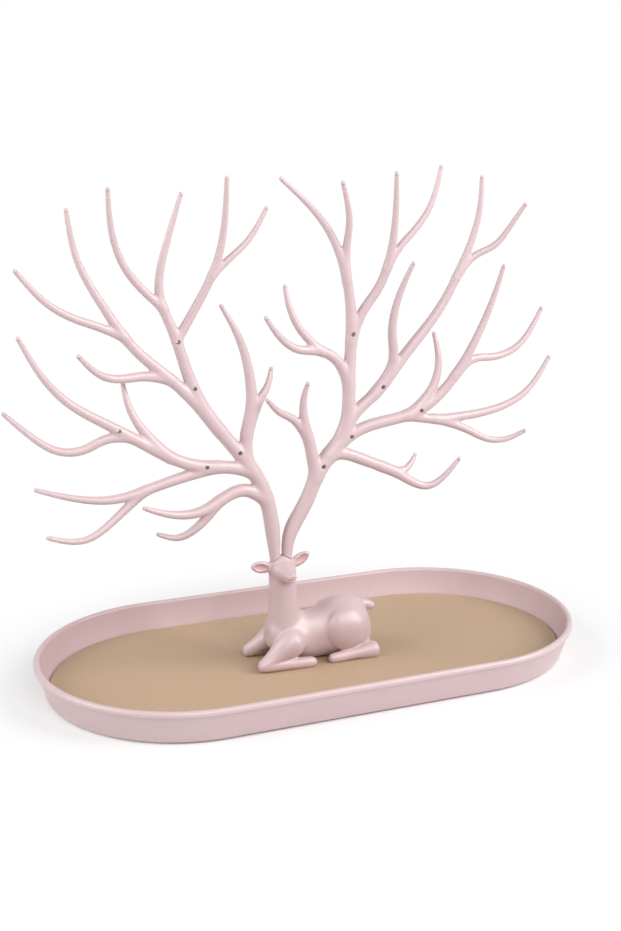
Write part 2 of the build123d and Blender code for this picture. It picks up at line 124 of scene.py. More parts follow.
# Each limb of an antler: the limb it grows from, where on it, how far back its tip leans, and the
# points it passes through, outwards and up
LEFT_LIMB_SHARES = {
    "crown": (None, 0.0, 0.5, [(0.01, 0.06), (0.05, 0.19), (0.14, 0.29), (0.25, 0.39), (0.33, 0.51),
                               (0.38, 0.62), (0.42, 0.70), (0.39, 0.83), (0.33, 0.95)]),
    "crown_twig": ("crown", 0.75, -0.4, [(0.48, 0.72), (0.54, 0.77), (0.59, 0.85), (0.61, 0.97)]),
    "inner": ("crown", 0.67, -0.6, [(0.34, 0.62), (0.29, 0.68), (0.22, 0.78), (0.19, 0.90), (0.19, 0.99)]),
    "inner_twig": ("inner", 0.47, 0.2, [(0.17, 0.79), (0.10, 0.83), (0.02, 0.91)]),
    "outer": ("crown", 0.43, 0.4, [(0.29, 0.42), (0.40, 0.50), (0.51, 0.57), (0.63, 0.69), (0.71, 0.80),
                                   (0.74, 0.92)]),
    "outer_fork": ("outer", 0.54, -0.6, [(0.65, 0.64), (0.72, 0.66), (0.82, 0.70), (0.94, 0.79)]),
    "outer_twig": ("outer", 0.31, -0.7, [(0.50, 0.51), (0.56, 0.51), (0.64, 0.52), (0.74, 0.58)]),
    "side": ("crown", 0.29, -0.5, [(0.15, 0.25), (0.23, 0.26), (0.31, 0.27), (0.46, 0.32), (0.64, 0.40),
                                   (0.77, 0.46), (0.86, 0.53), (0.94, 0.63)]),
    "side_fork": ("side", 0.51, 0.4, [(0.65, 0.36), (0.72, 0.34), (0.81, 0.34), (0.90, 0.38),
                                      (0.99, 0.44)]),
    "side_twig": ("side", 0.36, 0.6, [(0.50, 0.37), (0.54, 0.42), (0.56, 0.49)]),
    "low": ("side", 0.18, 0.5, [(0.37, 0.24), (0.48, 0.22), (0.61, 0.20), (0.75, 0.21), (0.89, 0.24)]),
    "low_twig": ("low", 0.46, -0.4, [(0.60, 0.16), (0.64, 0.14), (0.73, 0.11), (0.87, 0.13)]),
    "brow": ("crown", 0.21, -0.5, [(0.13, 0.19), (0.22, 0.17), (0.29, 0.15), (0.40, 0.15), (0.52, 0.18)]),
    "brow_twig": ("brow", 0.48, 0.4, [(0.32, 0.10), (0.38, 0.08), (0.45, 0.09)]),
    "upright": ("crown", 0.32, 0.4, [(0.11, 0.33), (0.09, 0.40), (0.09, 0.48), (0.13, 0.59), (0.19, 0.67)]),
    "upright_twig": ("upright", 0.25, 0.4, [(0.05, 0.43), (0.02, 0.46), (0.00, 0.50)]),
}
RIGHT_LIMB_SHARES = {
    "crown": (None, 0.0, 0.5, [(0.01, 0.05), (0.08, 0.14), (0.15, 0.24), (0.23, 0.31), (0.26, 0.45),
                               (0.27, 0.57), (0.25, 0.73), (0.18, 0.85), (0.00, 0.98)]),
    "crown_twig": ("crown", 0.73, -0.4, [(0.25, 0.81), (0.25, 0.86), (0.21, 0.97)]),
    "fan": ("crown", 0.59, -0.5, [(0.32, 0.64), (0.37, 0.69), (0.42, 0.79), (0.43, 0.91), (0.42, 0.99)]),
    "fan_twig": ("fan", 0.50, 0.4, [(0.46, 0.80), (0.52, 0.84), (0.59, 0.90), (0.64, 1.00)]),
    "inner": ("crown", 0.49, -0.4, [(0.21, 0.51), (0.14, 0.54), (0.05, 0.55), (-0.02, 0.58),
                                    (-0.09, 0.64)]),
    "inner_twig": ("inner", 0.46, 0.4, [(0.06, 0.60), (0.02, 0.66), (0.01, 0.71)]),
    "upright": ("crown", 0.26, -0.2, [(0.09, 0.31), (0.07, 0.37), (0.07, 0.43), (0.08, 0.46)]),
    "upright_twig": ("upright", 0.50, -0.5, [(0.02, 0.37), (-0.03, 0.39), (-0.09, 0.43)]),
    "brow": ("crown", 0.26, -0.5, [(0.20, 0.26), (0.31, 0.24), (0.46, 0.19), (0.58, 0.15), (0.71, 0.22)]),
    "brow_twig": ("brow", 0.49, 0.3, [(0.50, 0.20), (0.55, 0.23)]),
    "middle": ("crown", 0.38, 0.5, [(0.29, 0.37), (0.36, 0.41), (0.49, 0.51), (0.63, 0.62), (0.74, 0.75),
                                    (0.81, 0.89), (0.82, 0.97)]),
    "middle_twig": ("middle", 0.21, -0.6, [(0.44, 0.50), (0.43, 0.57), (0.45, 0.68), (0.49, 0.76)]),
    "middle_fork": ("middle", 0.68, -0.4, [(0.80, 0.77), (0.86, 0.79), (0.92, 0.84), (0.97, 0.90)]),
    "outer": ("crown", 0.32, -0.5, [(0.30, 0.32), (0.43, 0.34), (0.55, 0.36), (0.65, 0.41), (0.77, 0.53),
                                    (0.86, 0.68), (0.88, 0.74)]),
    "outer_twig": ("outer", 0.38, 0.5, [(0.61, 0.42), (0.64, 0.49), (0.63, 0.56)]),
    "outer_fork": ("outer", 0.60, 0.4, [(0.78, 0.49), (0.85, 0.49), (0.98, 0.51), (1.10, 0.61)]),
    "low": ("outer", 0.37, 0.5, [(0.64, 0.33), (0.73, 0.33), (0.89, 0.34), (1.04, 0.38), (1.15, 0.47)]),
    "low_twig": ("low", 0.22, -0.5, [(0.77, 0.29), (0.86, 0.26), (0.94, 0.26), (1.00, 0.28)]),
}

# Where the holes for ear studs go through each antler, along the limb that carries them
LEFT_STUD_SHARES = [("crown", 0.325), ("crown", 0.525), ("crown", 0.645), ("side", 0.185), ("side", 0.53)]
RIGHT_STUD_SHARES = [("crown", 0.255), ("crown", 0.585), ("outer", 0.10), ("outer", 0.385),
                     ("middle", 0.205)]

# How limbs thin out: the power of the taper, and a limb's girth at its fork as a share of its carrier's
TAPER = 1.8
FORK_GIRTH = 0.9

# The soft square lights: where each stands, what it is aimed at, and the setting that holds its power
LIGHT_SIZE = 0.8
LIGHTS = {
    "front_light": ((-0.10, -1.00, 0.85), (0, 0, 0.05), "front_power"),
    "left_light": ((-0.90, 0.05, 0.60), (0, 0, 0.10), "rim_power"),
    "right_light": ((0.85, -0.60, 0.75), (0, 0, 0.10), "key_power"),
}


class TraySettings(bpy.types.PropertyGroup):
    """Sizes of the tray."""

    flare: FloatProperty(name="Flare", description="How far the wall leans out over its height",
                         default=4.2 * MM, unit="LENGTH", precision=5)
    wall: FloatProperty(name="Wall", description="Thickness of the wall", default=1.8 * MM, unit="LENGTH",
                        precision=5)
    lip: FloatProperty(name="Lip", description="Width of the rounded lip", default=3.0 * MM, unit="LENGTH",
                       precision=5)
    lip_overhang: FloatProperty(name="Lip overhang", description="How far the lip stands out past the wall",
                                default=0.9 * MM, unit="LENGTH", precision=5)
    lip_skirt: FloatProperty(name="Lip skirt", description="Straight edge below the lip's round top",
                             default=0.9 * MM, unit="LENGTH", precision=5)
    base_round: FloatProperty(name="Base rounding", description="Radius of the edge it stands on",
                              default=1.0 * MM, unit="LENGTH", precision=5)
    end_segments: IntProperty(name="End segments", description="Faces round each half-round end",
                              default=96, min=24)


class PadSettings(bpy.types.PropertyGroup):
    """Sizes and colours of the tray's pad."""

    edge_round: FloatProperty(name="Edge rounding", description="Radius of the cut edge", default=0.4 * MM,
                              unit="LENGTH", precision=5)
    waviness: FloatProperty(name="Waviness", description="How far the sheet dips between its high spots",
                            default=0.10 * MM, unit="LENGTH", precision=5)
    colour: FloatVectorProperty(name="Colour", description="Tan of the leather", subtype="COLOR", size=3,
                                min=0, max=1, default=(0.455, 0.322, 0.216))
    worn_colour: FloatVectorProperty(name="Crest colour", description="Paler tan on the grain's crests",
                                     subtype="COLOR", size=3, min=0, max=1, default=(0.495, 0.355, 0.243))


class PlasticSettings(bpy.types.PropertyGroup):
    """Colours of the moulded plastic."""

    colour: FloatVectorProperty(name="Colour", description="Dusty pink of the moulded plastic",
                                subtype="COLOR", size=3, min=0, max=1, default=(0.590, 0.440, 0.452))
    cloud_colour: FloatVectorProperty(name="Cloud colour", description="Slightly deeper pink in the mix",
                                      subtype="COLOR", size=3, min=0, max=1, default=(0.575, 0.424, 0.438))
    blush_colour: FloatVectorProperty(name="Blush colour", description="Pink of the ears' insides and nose",
                                      subtype="COLOR", size=3, min=0, max=1, default=(0.580, 0.368, 0.378))


class DeerSettings(bpy.types.PropertyGroup):
    """Sizes of the deer; heights are above the pad."""

    body_front_x: FloatProperty(name="Chest", description="Where the chest begins", default=-23.2 * MM,
                                unit="LENGTH", precision=5)
    body_length: FloatProperty(name="Body length", description="Chest to rump", default=51.8 * MM,
                               unit="LENGTH", precision=5)
    body_height: FloatProperty(name="Body height", description="Pad to the top of the rump",
                               default=28.2 * MM, unit="LENGTH", precision=5)
    body_width: FloatProperty(name="Body width", description="Across the rump", default=25.0 * MM,
                              unit="LENGTH", precision=5)
    neck_girth: FloatProperty(name="Neck girth", description="Thickness of the neck", default=15.0 * MM,
                              unit="LENGTH", precision=5)
    skull_x: FloatProperty(name="Skull place", description="Middle of the skull along the tray",
                           default=-15.4 * MM, unit="LENGTH", precision=5)
    skull_z: FloatProperty(name="Skull height", description="Middle of the skull above the pad",
                           default=45.6 * MM, unit="LENGTH", precision=5)
    skull_radius: FloatProperty(name="Skull radius", description="Radius of the round skull",
                                default=6.2 * MM, unit="LENGTH", precision=5)
    head_length: FloatProperty(name="Head length", description="Back of the head to the nose",
                               default=17.5 * MM, unit="LENGTH", precision=5)
    head_width: FloatProperty(name="Head width", description="Across the cheeks", default=11.2 * MM,
                              unit="LENGTH", precision=5)
    head_drop: FloatProperty(name="Head drop", description="How much lower the nose is than the skull",
                             default=0.8 * MM, unit="LENGTH", precision=5)
    head_back: FloatProperty(name="Head back", description="Skull's middle to the back of the head",
                             default=3.3 * MM, unit="LENGTH", precision=5)
    ear_out: FloatProperty(name="Ear root", description="Skull's middle sideways to an ear's root",
                           default=4.6 * MM, unit="LENGTH", precision=5)
    ear_up: FloatProperty(name="Ear height", description="Skull's middle up to an ear's root",
                          default=0.5 * MM, unit="LENGTH", precision=5)
    left_ear_lift: FloatProperty(name="Left ear lift", description="How far the left ear points up",
                                 default=radians(10), subtype="ANGLE")
    right_ear_lift: FloatProperty(name="Right ear lift", description="How far the right ear points up",
                                  default=radians(29), subtype="ANGLE")
    dish_depth: FloatProperty(name="Ear dish", description="How deep each ear is hollowed out",
                              default=1.3 * MM, unit="LENGTH", precision=5)
    ear_length: FloatProperty(name="Ear length", description="Root to tip", default=10.4 * MM,
                              unit="LENGTH", precision=5)
    ear_width: FloatProperty(name="Ear width", description="Across the leaf", default=5.8 * MM,
                             unit="LENGTH", precision=5)
    ear_thickness: FloatProperty(name="Ear thickness", description="Front to back", default=2.6 * MM,
                                 unit="LENGTH", precision=5)
    voxel: FloatProperty(name="Skin cell", description="Cell that fuses the forms to one skin",
                         default=0.35 * MM, unit="LENGTH", precision=5)


class AntlerSettings(bpy.types.PropertyGroup):
    """Sizes of the antlers."""

    reach: FloatProperty(name="Reach", description="Outward shares are of this", default=120 * MM,
                         unit="LENGTH", precision=5)
    rise: FloatProperty(name="Rise", description="Upward shares are of this", default=172 * MM,
                        unit="LENGTH", precision=5)
    spread: FloatProperty(name="Spread", description="Backward shares are of this", default=10 * MM,
                          unit="LENGTH", precision=5)
    pitch: FloatProperty(name="Pitch", description="Between the two roots", default=5.6 * MM,
                         unit="LENGTH", precision=5)
    root_diameter: FloatProperty(name="Root", description="Girth at the head", default=4.6 * MM,
                                 unit="LENGTH", precision=5)
    root_sink: FloatProperty(name="Root sink", description="How far the trunk starts below the skull's top",
                             default=5.0 * MM, unit="LENGTH", precision=5)
    trunk_diameter: FloatProperty(name="Trunk", description="Girth of the trunk", default=7.0 * MM,
                                  unit="LENGTH", precision=5)
    tip_diameter: FloatProperty(name="Tip", description="Girth of each tip", default=1.9 * MM,
                                unit="LENGTH", precision=5)
    fork_lead: FloatProperty(name="Fork lead", description="How many girths before its fork a limb parts",
                             default=1.1)
    fillet: FloatProperty(name="Fillet", description="How softly limbs flow together at a fork",
                          default=0.6 * MM, unit="LENGTH", precision=5)
    saddle_gap: FloatProperty(name="Saddle gap", description="Between the antler's foot and the skull",
                              default=0.25 * MM, unit="LENGTH", precision=5)
    tenon_width: FloatProperty(name="Tenon width", description="Along the tray", default=2.6 * MM,
                               unit="LENGTH", precision=5)
    tenon_thickness: FloatProperty(name="Tenon thickness", description="Across the tray", default=3.4 * MM,
                                   unit="LENGTH", precision=5)
    tenon_length: FloatProperty(name="Tenon length", description="Down from the skull's top",
                                default=9.0 * MM, unit="LENGTH", precision=5)
    slip_gap: FloatProperty(name="Slip gap", description="Each side of the tenon", default=0.12 * MM,
                            unit="LENGTH", precision=5)
    stud_hole: FloatProperty(name="Stud hole", description="Diameter of the holes for ear studs",
                             default=2.0 * MM, unit="LENGTH", precision=5)
    voxel: FloatProperty(name="Skin cell", description="Cell that fuses the limbs to one skin",
                         default=0.46 * MM, unit="LENGTH", precision=5)


class FixingSettings(bpy.types.PropertyGroup):
    """Sizes and colours of the feet and screws."""

    foot_round: FloatProperty(name="Foot rounding", description="Radius of a foot's lower edge",
                              default=0.5 * MM, unit="LENGTH", precision=5)
    screw_diameter: FloatProperty(name="Screw", description="Diameter of the shank", default=2.9 * MM,
                                  unit="LENGTH", precision=5)
    head_diameter: FloatProperty(name="Screw head", description="Diameter of the sunk head",
                                 default=5.6 * MM, unit="LENGTH", precision=5)
    head_height: FloatProperty(name="Screw head height", description="Depth of the sunk head",
                               default=1.5 * MM, unit="LENGTH", precision=5)
    screw_length: FloatProperty(name="Screw length", description="Head to point", default=10.0 * MM,
                                unit="LENGTH", precision=5)
    front_screw_x: FloatProperty(name="Front screw", description="Place along the tray", default=-7.0 * MM,
                                 unit="LENGTH", precision=5)
    rear_screw_x: FloatProperty(name="Rear screw", description="Place along the tray", default=16.0 * MM,
                                unit="LENGTH", precision=5)
    rubber_colour: FloatVectorProperty(name="Rubber", description="Grey of the feet", subtype="COLOR",
                                       size=3, min=0, max=1, default=(0.55, 0.55, 0.54))
    steel_colour: FloatVectorProperty(name="Steel", description="Zinc-plated steel", subtype="COLOR",
                                      size=3, min=0, max=1, default=(0.60, 0.60, 0.60))


class StageSettings(bpy.types.PropertyGroup):
    """Camera and light."""

    eye: FloatVectorProperty(name="Eye", description="Where the camera stands", subtype="TRANSLATION",
                             unit="LENGTH", size=3, default=(-0.2370, -0.5733, 0.2635))
    target: FloatVectorProperty(name="Target", description="What the camera looks at",
                                subtype="TRANSLATION", unit="LENGTH", size=3,
                                default=(-0.0008, 0.0003, 0.0965))
    lens: FloatProperty(name="Lens", description="Focal length in millimetres for a frame 36 mm high",
                        default=54.7, min=1)
    front_power: FloatProperty(name="Front light", description="Power of the soft light above the front",
                               default=7.0, unit="POWER")
    key_power: FloatProperty(name="Right light", description="Power of the soft light at the right",
                             default=13.0, unit="POWER")
    rim_power: FloatProperty(name="Left light", description="Power of the soft light beside the left end",
                             default=7.5, unit="POWER")
    sky_strength: FloatProperty(name="Sky", description="Strength of the even light from all round",
                                default=0.17)


def unit(vectors):
    """Rows scaled to length one."""
    return vectors / np.linalg.norm(vectors, axis=-1, keepdims=True)


def smooth_step(low, high, values):
    """Rises smoothly from 0 at low to 1 at high: 3t^2 - 2t^3."""
    share = np.clip((values - low) / (high - low), 0, 1)
    return share * share * (3 - 2 * share)


def spline(points, shares):
    """Natural cubic spline through rows of numbers, by chord length, at shares of its run.

    The second derivatives at the points solve one tridiagonal system, with none at the two ends, and
    each stretch is the cubic that they and the points give.
    """
    points = np.asarray(points, float)
    gaps = np.linalg.norm(np.diff(points, axis=0), axis=1)
    knots = np.concatenate([[0], np.cumsum(gaps)])
    count = len(knots)
    inner = np.arange(1, count - 1)
    system = np.eye(count)
    system[inner, inner - 1] = gaps[:-1]
    system[inner, inner] = 2 * (gaps[:-1] + gaps[1:])
    system[inner, inner + 1] = gaps[1:]
    bends = np.zeros_like(points)
    bends[1:-1] = 6 * np.diff(np.diff(points, axis=0) / gaps[:, None], axis=0)
    bends = np.linalg.solve(system, bends)
    places = np.clip(np.atleast_1d(shares), 0, 1) * knots[-1]
    span = np.clip(np.searchsorted(knots, places) - 1, 0, count - 2)
    gap = gaps[span][:, None]
    ahead = knots[span + 1][:, None] - places[:, None]
    behind = places[:, None] - knots[span][:, None]
    curved = (bends[span] * ahead**3 + bends[span + 1] * behind**3) / (6 * gap)
    left = (points[span] / gap - bends[span] * gap / 6) * ahead
    right = (points[span + 1] / gap - bends[span + 1] * gap / 6) * behind
    return curved + left + right


class Skin:
    """Closed surfaces gathered as vertices and faces, to become one mesh."""

    def __init__(self):
        self.vertices = []
        self.faces = []
        self.count = 0

    def add_rings(self, rings):
        """Rings of points joined by quads, with a fan to the middle of the first and last ring."""
        rows, columns, _ = rings.shape
        index = np.arange(rows * columns).reshape(rows, columns) + self.count
        ahead = np.roll(index, -1, axis=1)
        quads = np.stack([index[:-1], ahead[:-1], ahead[1:], index[1:]], axis=-1).reshape(-1, 4)
        first = self.count + rows * columns
        last = first + 1
        start_fan = np.stack([np.full(columns, first), ahead[0], index[0]], axis=-1)
        end_fan = np.stack([np.full(columns, last), index[-1], ahead[-1]], axis=-1)
        poles = np.stack([rings[0].mean(axis=0), rings[-1].mean(axis=0)])
        self.vertices.append(np.concatenate([rings.reshape(-1, 3), poles]))
        self.faces += quads.tolist() + start_fan.tolist() + end_fan.tolist()
        self.count += rows * columns + 2

    def add_oval(self, centres, halves_u, halves_v, sides=48):
        """Ovals carried along a line: p(s, a) = c(s) + cos(a) u(s) + sin(a) v(s)."""
        turns = np.linspace(0, 2 * pi, sides, endpoint=False)[None, :, None]
        rings = centres[:, None] + np.cos(turns) * halves_u[:, None] + np.sin(turns) * halves_v[:, None]
        self.add_rings(rings)

    def add_tube(self, path, radii, sides=28):
        """A circle carried along a path: p(s, a) = c(s) + r(s) (cos(a) n(s) + sin(a) b(s))."""
        heading = unit(np.gradient(path, axis=0))
        side = np.array([0.0, 1.0, 0.0])
        normal = unit(side - (heading @ side)[:, None] * heading)
        binormal = np.cross(heading, normal)
        self.add_oval(path, normal * radii[:, None], binormal * radii[:, None], sides)

    def add_lathe(self, profile, centre, sides=64, axis="Z"):
        """A profile of radius and height turned about an upright line, or one that runs back."""
        profile = np.asarray(profile, float)
        turns = np.linspace(0, 2 * pi, sides, endpoint=False)[None, :]
        round_u = profile[:, :1] * np.cos(turns)
        round_v = profile[:, :1] * np.sin(turns)
        height = np.broadcast_to(profile[:, 1:], round_u.shape)
        parts = (round_u, round_v, height) if axis == "Z" else (round_v, height, round_u)
        self.add_rings(np.stack(parts, axis=-1) + np.asarray(centre))

    def add_box(self, low, high):
        """A box between two corners, as four-sided rings."""
        corners = [(low[0], low[1]), (high[0], low[1]), (high[0], high[1]), (low[0], high[1])]
        rings = [[(x, y, z) for x, y in corners] for z in (low[2], high[2])]
        self.add_rings(np.array(rings, float))

    def mesh(self, name):
        """The gathered surfaces as one mesh."""
        made = bpy.data.meshes.new(name)
        made.from_pydata(np.concatenate(self.vertices), [], self.faces)
        made.update()
        return made


def points_of(mesh):
    """The mesh's vertices as an array."""
    flat = np.empty(len(mesh.vertices) * 3, np.float32)
    mesh.vertices.foreach_get("co", flat)
    return flat.reshape(-1, 3).astype(float)


def normals_of(mesh):
    """The mesh's vertex normals as an array."""
    flat = np.empty(len(mesh.vertices) * 3, np.float32)
    mesh.vertex_normals.foreach_get("vector", flat)
    return flat.reshape(-1, 3).astype(float)


def move_points(mesh, points):
    """Puts the vertices where the array says."""
    mesh.vertices.foreach_set("co", points.astype(np.float32).ravel())
    mesh.update()


def relax(mesh, strength, passes):
    """Moves each vertex by its own strength towards the mean of its neighbours, pass after pass."""
    ends = np.empty(len(mesh.edges) * 2, np.int32)
    mesh.edges.foreach_get("vertices", ends)
    ends = ends.reshape(-1, 2)
    near = np.concatenate([ends[:, 0], ends[:, 1]])
    far = np.concatenate([ends[:, 1], ends[:, 0]])
    points = points_of(mesh)
    total = len(points)
    neighbours = np.maximum(np.bincount(near, minlength=total), 1)[:, None]
    for _ in range(passes):
        sums = [np.bincount(near, weights=points[far, axis], minlength=total) for axis in range(3)]
        points = points + strength * (np.stack(sums, axis=1) / neighbours - points)
    move_points(mesh, points)


def polish(mesh, passes):
    """Takes the cell pattern out of a skin without shrinking it: a step in, then a longer one out."""
    for _ in range(passes):
        relax(mesh, strength=0.5, passes=1)
        relax(mesh, strength=-0.52, passes=1)


def finished(obj):
    """The object's mesh with its modifiers applied, in place of the old one."""
    graph = bpy.context.evaluated_depsgraph_get()
    made = bpy.data.meshes.new_from_object(obj.evaluated_get(graph))
    obj.modifiers.clear()
    obj.data = made
    return made


def new_piece(name, mesh):
    """A piece at the origin that holds the mesh."""
    obj = bpy.data.objects.new(name, mesh)
    bpy.context.scene.collection.objects.link(obj)
    return obj


def fuse(obj, cell):
    """Overlapping closed surfaces become one skin of even cells."""
    skin = obj.modifiers.new("Skin", "REMESH")
    skin.mode = "VOXEL"
    skin.voxel_size = cell
    return finished(obj)


def carve(obj, tool_skin, operation, solver="MANIFOLD"):
    """Cuts closed surfaces out of a piece, or joins them to it. The exact solver lets them overlap."""
    tool = new_piece("tool", tool_skin.mesh("tool"))
    boolean = obj.modifiers.new("Carve", "BOOLEAN")
    boolean.operation = operation
    boolean.solver = solver
    boolean.use_self = solver == "EXACT"
    boolean.object = tool
    before = len(obj.data.vertices)
    made = finished(obj)
    tool_mesh = tool.data
    bpy.data.objects.remove(tool)
    bpy.data.meshes.remove(tool_mesh)
    if len(made.vertices) in (0, before):
        raise RuntimeError(f"carving left {obj.name} as it was or empty")
    return made


def shade(mesh, angle):
    """Smooth faces with sharp edges where two faces meet at more than the angle, in degrees."""
    mesh.shade_smooth()
    mesh.set_sharp_from_angle(angle=radians(angle))


def place(obj, material, body, slot, *nodes):
    """Gives a piece its material and its body, and hides the CAD nodes that it stands for. The slot is not
    used.
    """
    obj.data.materials.clear()
    obj.data.materials.append(material)
    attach(obj, body)
    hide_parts(*nodes)


def set_inputs(node, inputs):
    """Sets a node's inputs by their names, with underscores for spaces."""
    for name, value in inputs.items():
        node.inputs[name.replace("_", " ")].default_value = value


def add_node(tree, kind, x, y, **inputs):
    """A node at a place in the editor, with some of its inputs set by name."""
    node = tree.nodes.new(kind)
    node.location = (x, y)
    set_inputs(node, inputs)
    return node


def group_tree(name, inputs, outputs):
    """An empty shader node group with its sockets, and its input and output nodes."""
    tree = bpy.data.node_groups.new(name, "ShaderNodeTree")
    for label, kind, default in inputs:
        socket = tree.interface.new_socket(label, in_out="INPUT", socket_type=kind)
        socket.default_value = default
    for label, kind in outputs:
        tree.interface.new_socket(label, in_out="OUTPUT", socket_type=kind)
    entry = add_node(tree, "NodeGroupInput", -900, 0)
    result = add_node(tree, "NodeGroupOutput", 700, 0)
    return tree, entry, result


def moulded_group():
    """Clouds of colour, uneven gloss and a fine skin, as on a satin moulding."""
    if "Moulded Skin" in bpy.data.node_groups:
        return bpy.data.node_groups["Moulded Skin"]
    tree, entry, result = group_tree(
        "Moulded Skin",
        [("Colour", "NodeSocketColor", (0.8, 0.8, 0.8, 1)),
         ("Cloud Colour", "NodeSocketColor", (0.7, 0.7, 0.7, 1)),
         ("Cloud Scale", "NodeSocketFloat", 60.0), ("Skin Scale", "NodeSocketFloat", 2600.0),
         ("Low Roughness", "NodeSocketFloat", 0.3), ("High Roughness", "NodeSocketFloat", 0.4)],
        [("Colour", "NodeSocketColor"), ("Roughness", "NodeSocketFloat"), ("Height", "NodeSocketFloat")])
    place_on = add_node(tree, "ShaderNodeTexCoord", -900, -300)
    clouds = add_node(tree, "ShaderNodeTexNoise", -600, 200, Detail=3.0, Roughness=0.55)
    skin = add_node(tree, "ShaderNodeTexNoise", -600, -300, Detail=4.0, Roughness=0.6)
    cloud_mask = add_node(tree, "ShaderNodeMapRange", -350, 200, From_Min=0.35, From_Max=0.68)
    tint = add_node(tree, "ShaderNodeMix", 100, 200)
    tint.data_type = "RGBA"
    gloss = add_node(tree, "ShaderNodeMapRange", 100, -50, From_Min=0.3, From_Max=0.7)
    link = tree.links.new
    link(place_on.outputs["Object"], clouds.inputs["Vector"])
    link(place_on.outputs["Object"], skin.inputs["Vector"])
    link(entry.outputs["Cloud Scale"], clouds.inputs["Scale"])
    link(entry.outputs["Skin Scale"], skin.inputs["Scale"])
    link(clouds.outputs["Fac"], cloud_mask.inputs["Value"])
    link(cloud_mask.outputs["Result"], tint.inputs["Factor"])
    link(entry.outputs["Colour"], tint.inputs["A"])
    link(entry.outputs["Cloud Colour"], tint.inputs["B"])
    link(skin.outputs["Fac"], gloss.inputs["Value"])
    link(entry.outputs["Low Roughness"], gloss.inputs["To Min"])
    link(entry.outputs["High Roughness"], gloss.inputs["To Max"])
    link(tint.outputs["Result"], result.inputs["Colour"])
    link(gloss.outputs["Result"], result.inputs["Roughness"])
    link(skin.outputs["Fac"], result.inputs["Height"])
    return tree


def grain_group():
    """Leather grain: rounded pebbles from cell distances, broken up by noise."""
    tree, entry, result = group_tree(
        "Leather Grain",
        [("Pebble Scale", "NodeSocketFloat", 900.0), ("Wander", "NodeSocketFloat", 0.0006)],
        [("Crest", "NodeSocketFloat"), ("Height", "NodeSocketFloat"), ("Patches", "NodeSocketFloat")])
    place_on = add_node(tree, "ShaderNodeTexCoord", -1100, 0)
    wander = add_node(tree, "ShaderNodeTexNoise", -900, -250, Scale=420.0, Detail=2.0)
    spread = add_node(tree, "ShaderNodeVectorMath", -700, -250)
    spread.operation = "SCALE"
    bent = add_node(tree, "ShaderNodeVectorMath", -500, -100)
    bent.operation = "ADD"
    pebbles = add_node(tree, "ShaderNodeTexVoronoi", -300, 50)
    pebbles.feature = "SMOOTH_F1"
    crest = add_node(tree, "ShaderNodeMapRange", -50, 100, From_Min=0.55, From_Max=0.10)
    fine = add_node(tree, "ShaderNodeTexNoise", -300, -300, Scale=3800.0, Detail=3.0)
    height = add_node(tree, "ShaderNodeMath", 250, 0)
    height.operation = "MULTIPLY_ADD"
    height.inputs[1].default_value = 0.35
    patches = add_node(tree, "ShaderNodeTexNoise", -300, -550, Scale=38.0, Detail=3.0)
    link = tree.links.new
    link(place_on.outputs["Object"], wander.inputs["Vector"])
    link(wander.outputs["Color"], spread.inputs["Vector"])
    link(entry.outputs["Wander"], spread.inputs["Scale"])
    link(place_on.outputs["Object"], bent.inputs[0])
    link(spread.outputs["Vector"], bent.inputs[1])
    link(bent.outputs["Vector"], pebbles.inputs["Vector"])
    link(entry.outputs["Pebble Scale"], pebbles.inputs["Scale"])
    link(pebbles.outputs["Distance"], crest.inputs["Value"])
    link(place_on.outputs["Object"], fine.inputs["Vector"])
    link(fine.outputs["Fac"], height.inputs[0])
    link(crest.outputs["Result"], height.inputs[2])
    link(place_on.outputs["Object"], patches.inputs["Vector"])
    link(crest.outputs["Result"], result.inputs["Crest"])
    link(height.outputs["Value"], result.inputs["Height"])
    link(patches.outputs["Fac"], result.inputs["Patches"])
    return tree


def new_material(name):
    """A material with a Principled shader, and that shader."""
    material = bpy.data.materials.new(name)
    material.use_nodes = True
    return material, material.node_tree, material.node_tree.nodes["Principled BSDF"]


def add_group(tree, group, x, y, **inputs):
    """A node group placed in a material with its own values."""
    node = add_node(tree, "ShaderNodeGroup", x, y)
    node.node_tree = group
    set_inputs(node, inputs)
    return node


def add_bump(tree, shader, height, distance):
    """Lets a height socket tilt the shader's normal."""
    bump = add_node(tree, "ShaderNodeBump", -250, -300, Strength=1.0, Distance=distance)
    tree.links.new(height, bump.inputs["Height"])
    tree.links.new(bump.outputs["Normal"], shader.inputs["Normal"])


def pink_plastic(settings):
    """Dusty pink satin plastic, with a blush where the mesh has one."""
    if "satin_pink" in bpy.data.materials:
        return bpy.data.materials["satin_pink"]
    material, tree, shader = new_material("satin_pink")
    skin = add_group(tree, moulded_group(), -800, 0, Colour=(*settings.colour, 1),
                     Cloud_Colour=(*settings.cloud_colour, 1), Cloud_Scale=70.0, Skin_Scale=450.0,
                     Low_Roughness=0.37, High_Roughness=0.42)
    blush = add_node(tree, "ShaderNodeAttribute", -800, 300)
    blush.attribute_name = "blush"
    tint = add_node(tree, "ShaderNodeMix", -300, 200)
    tint.data_type = "RGBA"
    tint.inputs["B"].default_value = (*settings.blush_colour, 1)
    tree.links.new(blush.outputs["Fac"], tint.inputs["Factor"])
    tree.links.new(skin.outputs["Colour"], tint.inputs["A"])
    tree.links.new(tint.outputs["Result"], shader.inputs["Base Color"])
    tree.links.new(skin.outputs["Roughness"], shader.inputs["Roughness"])
    add_bump(tree, shader, skin.outputs["Height"], distance=0.006 * MM)
    shader.inputs["IOR"].default_value = 1.52
    shader.inputs["Specular IOR Level"].default_value = 0.8
    return material


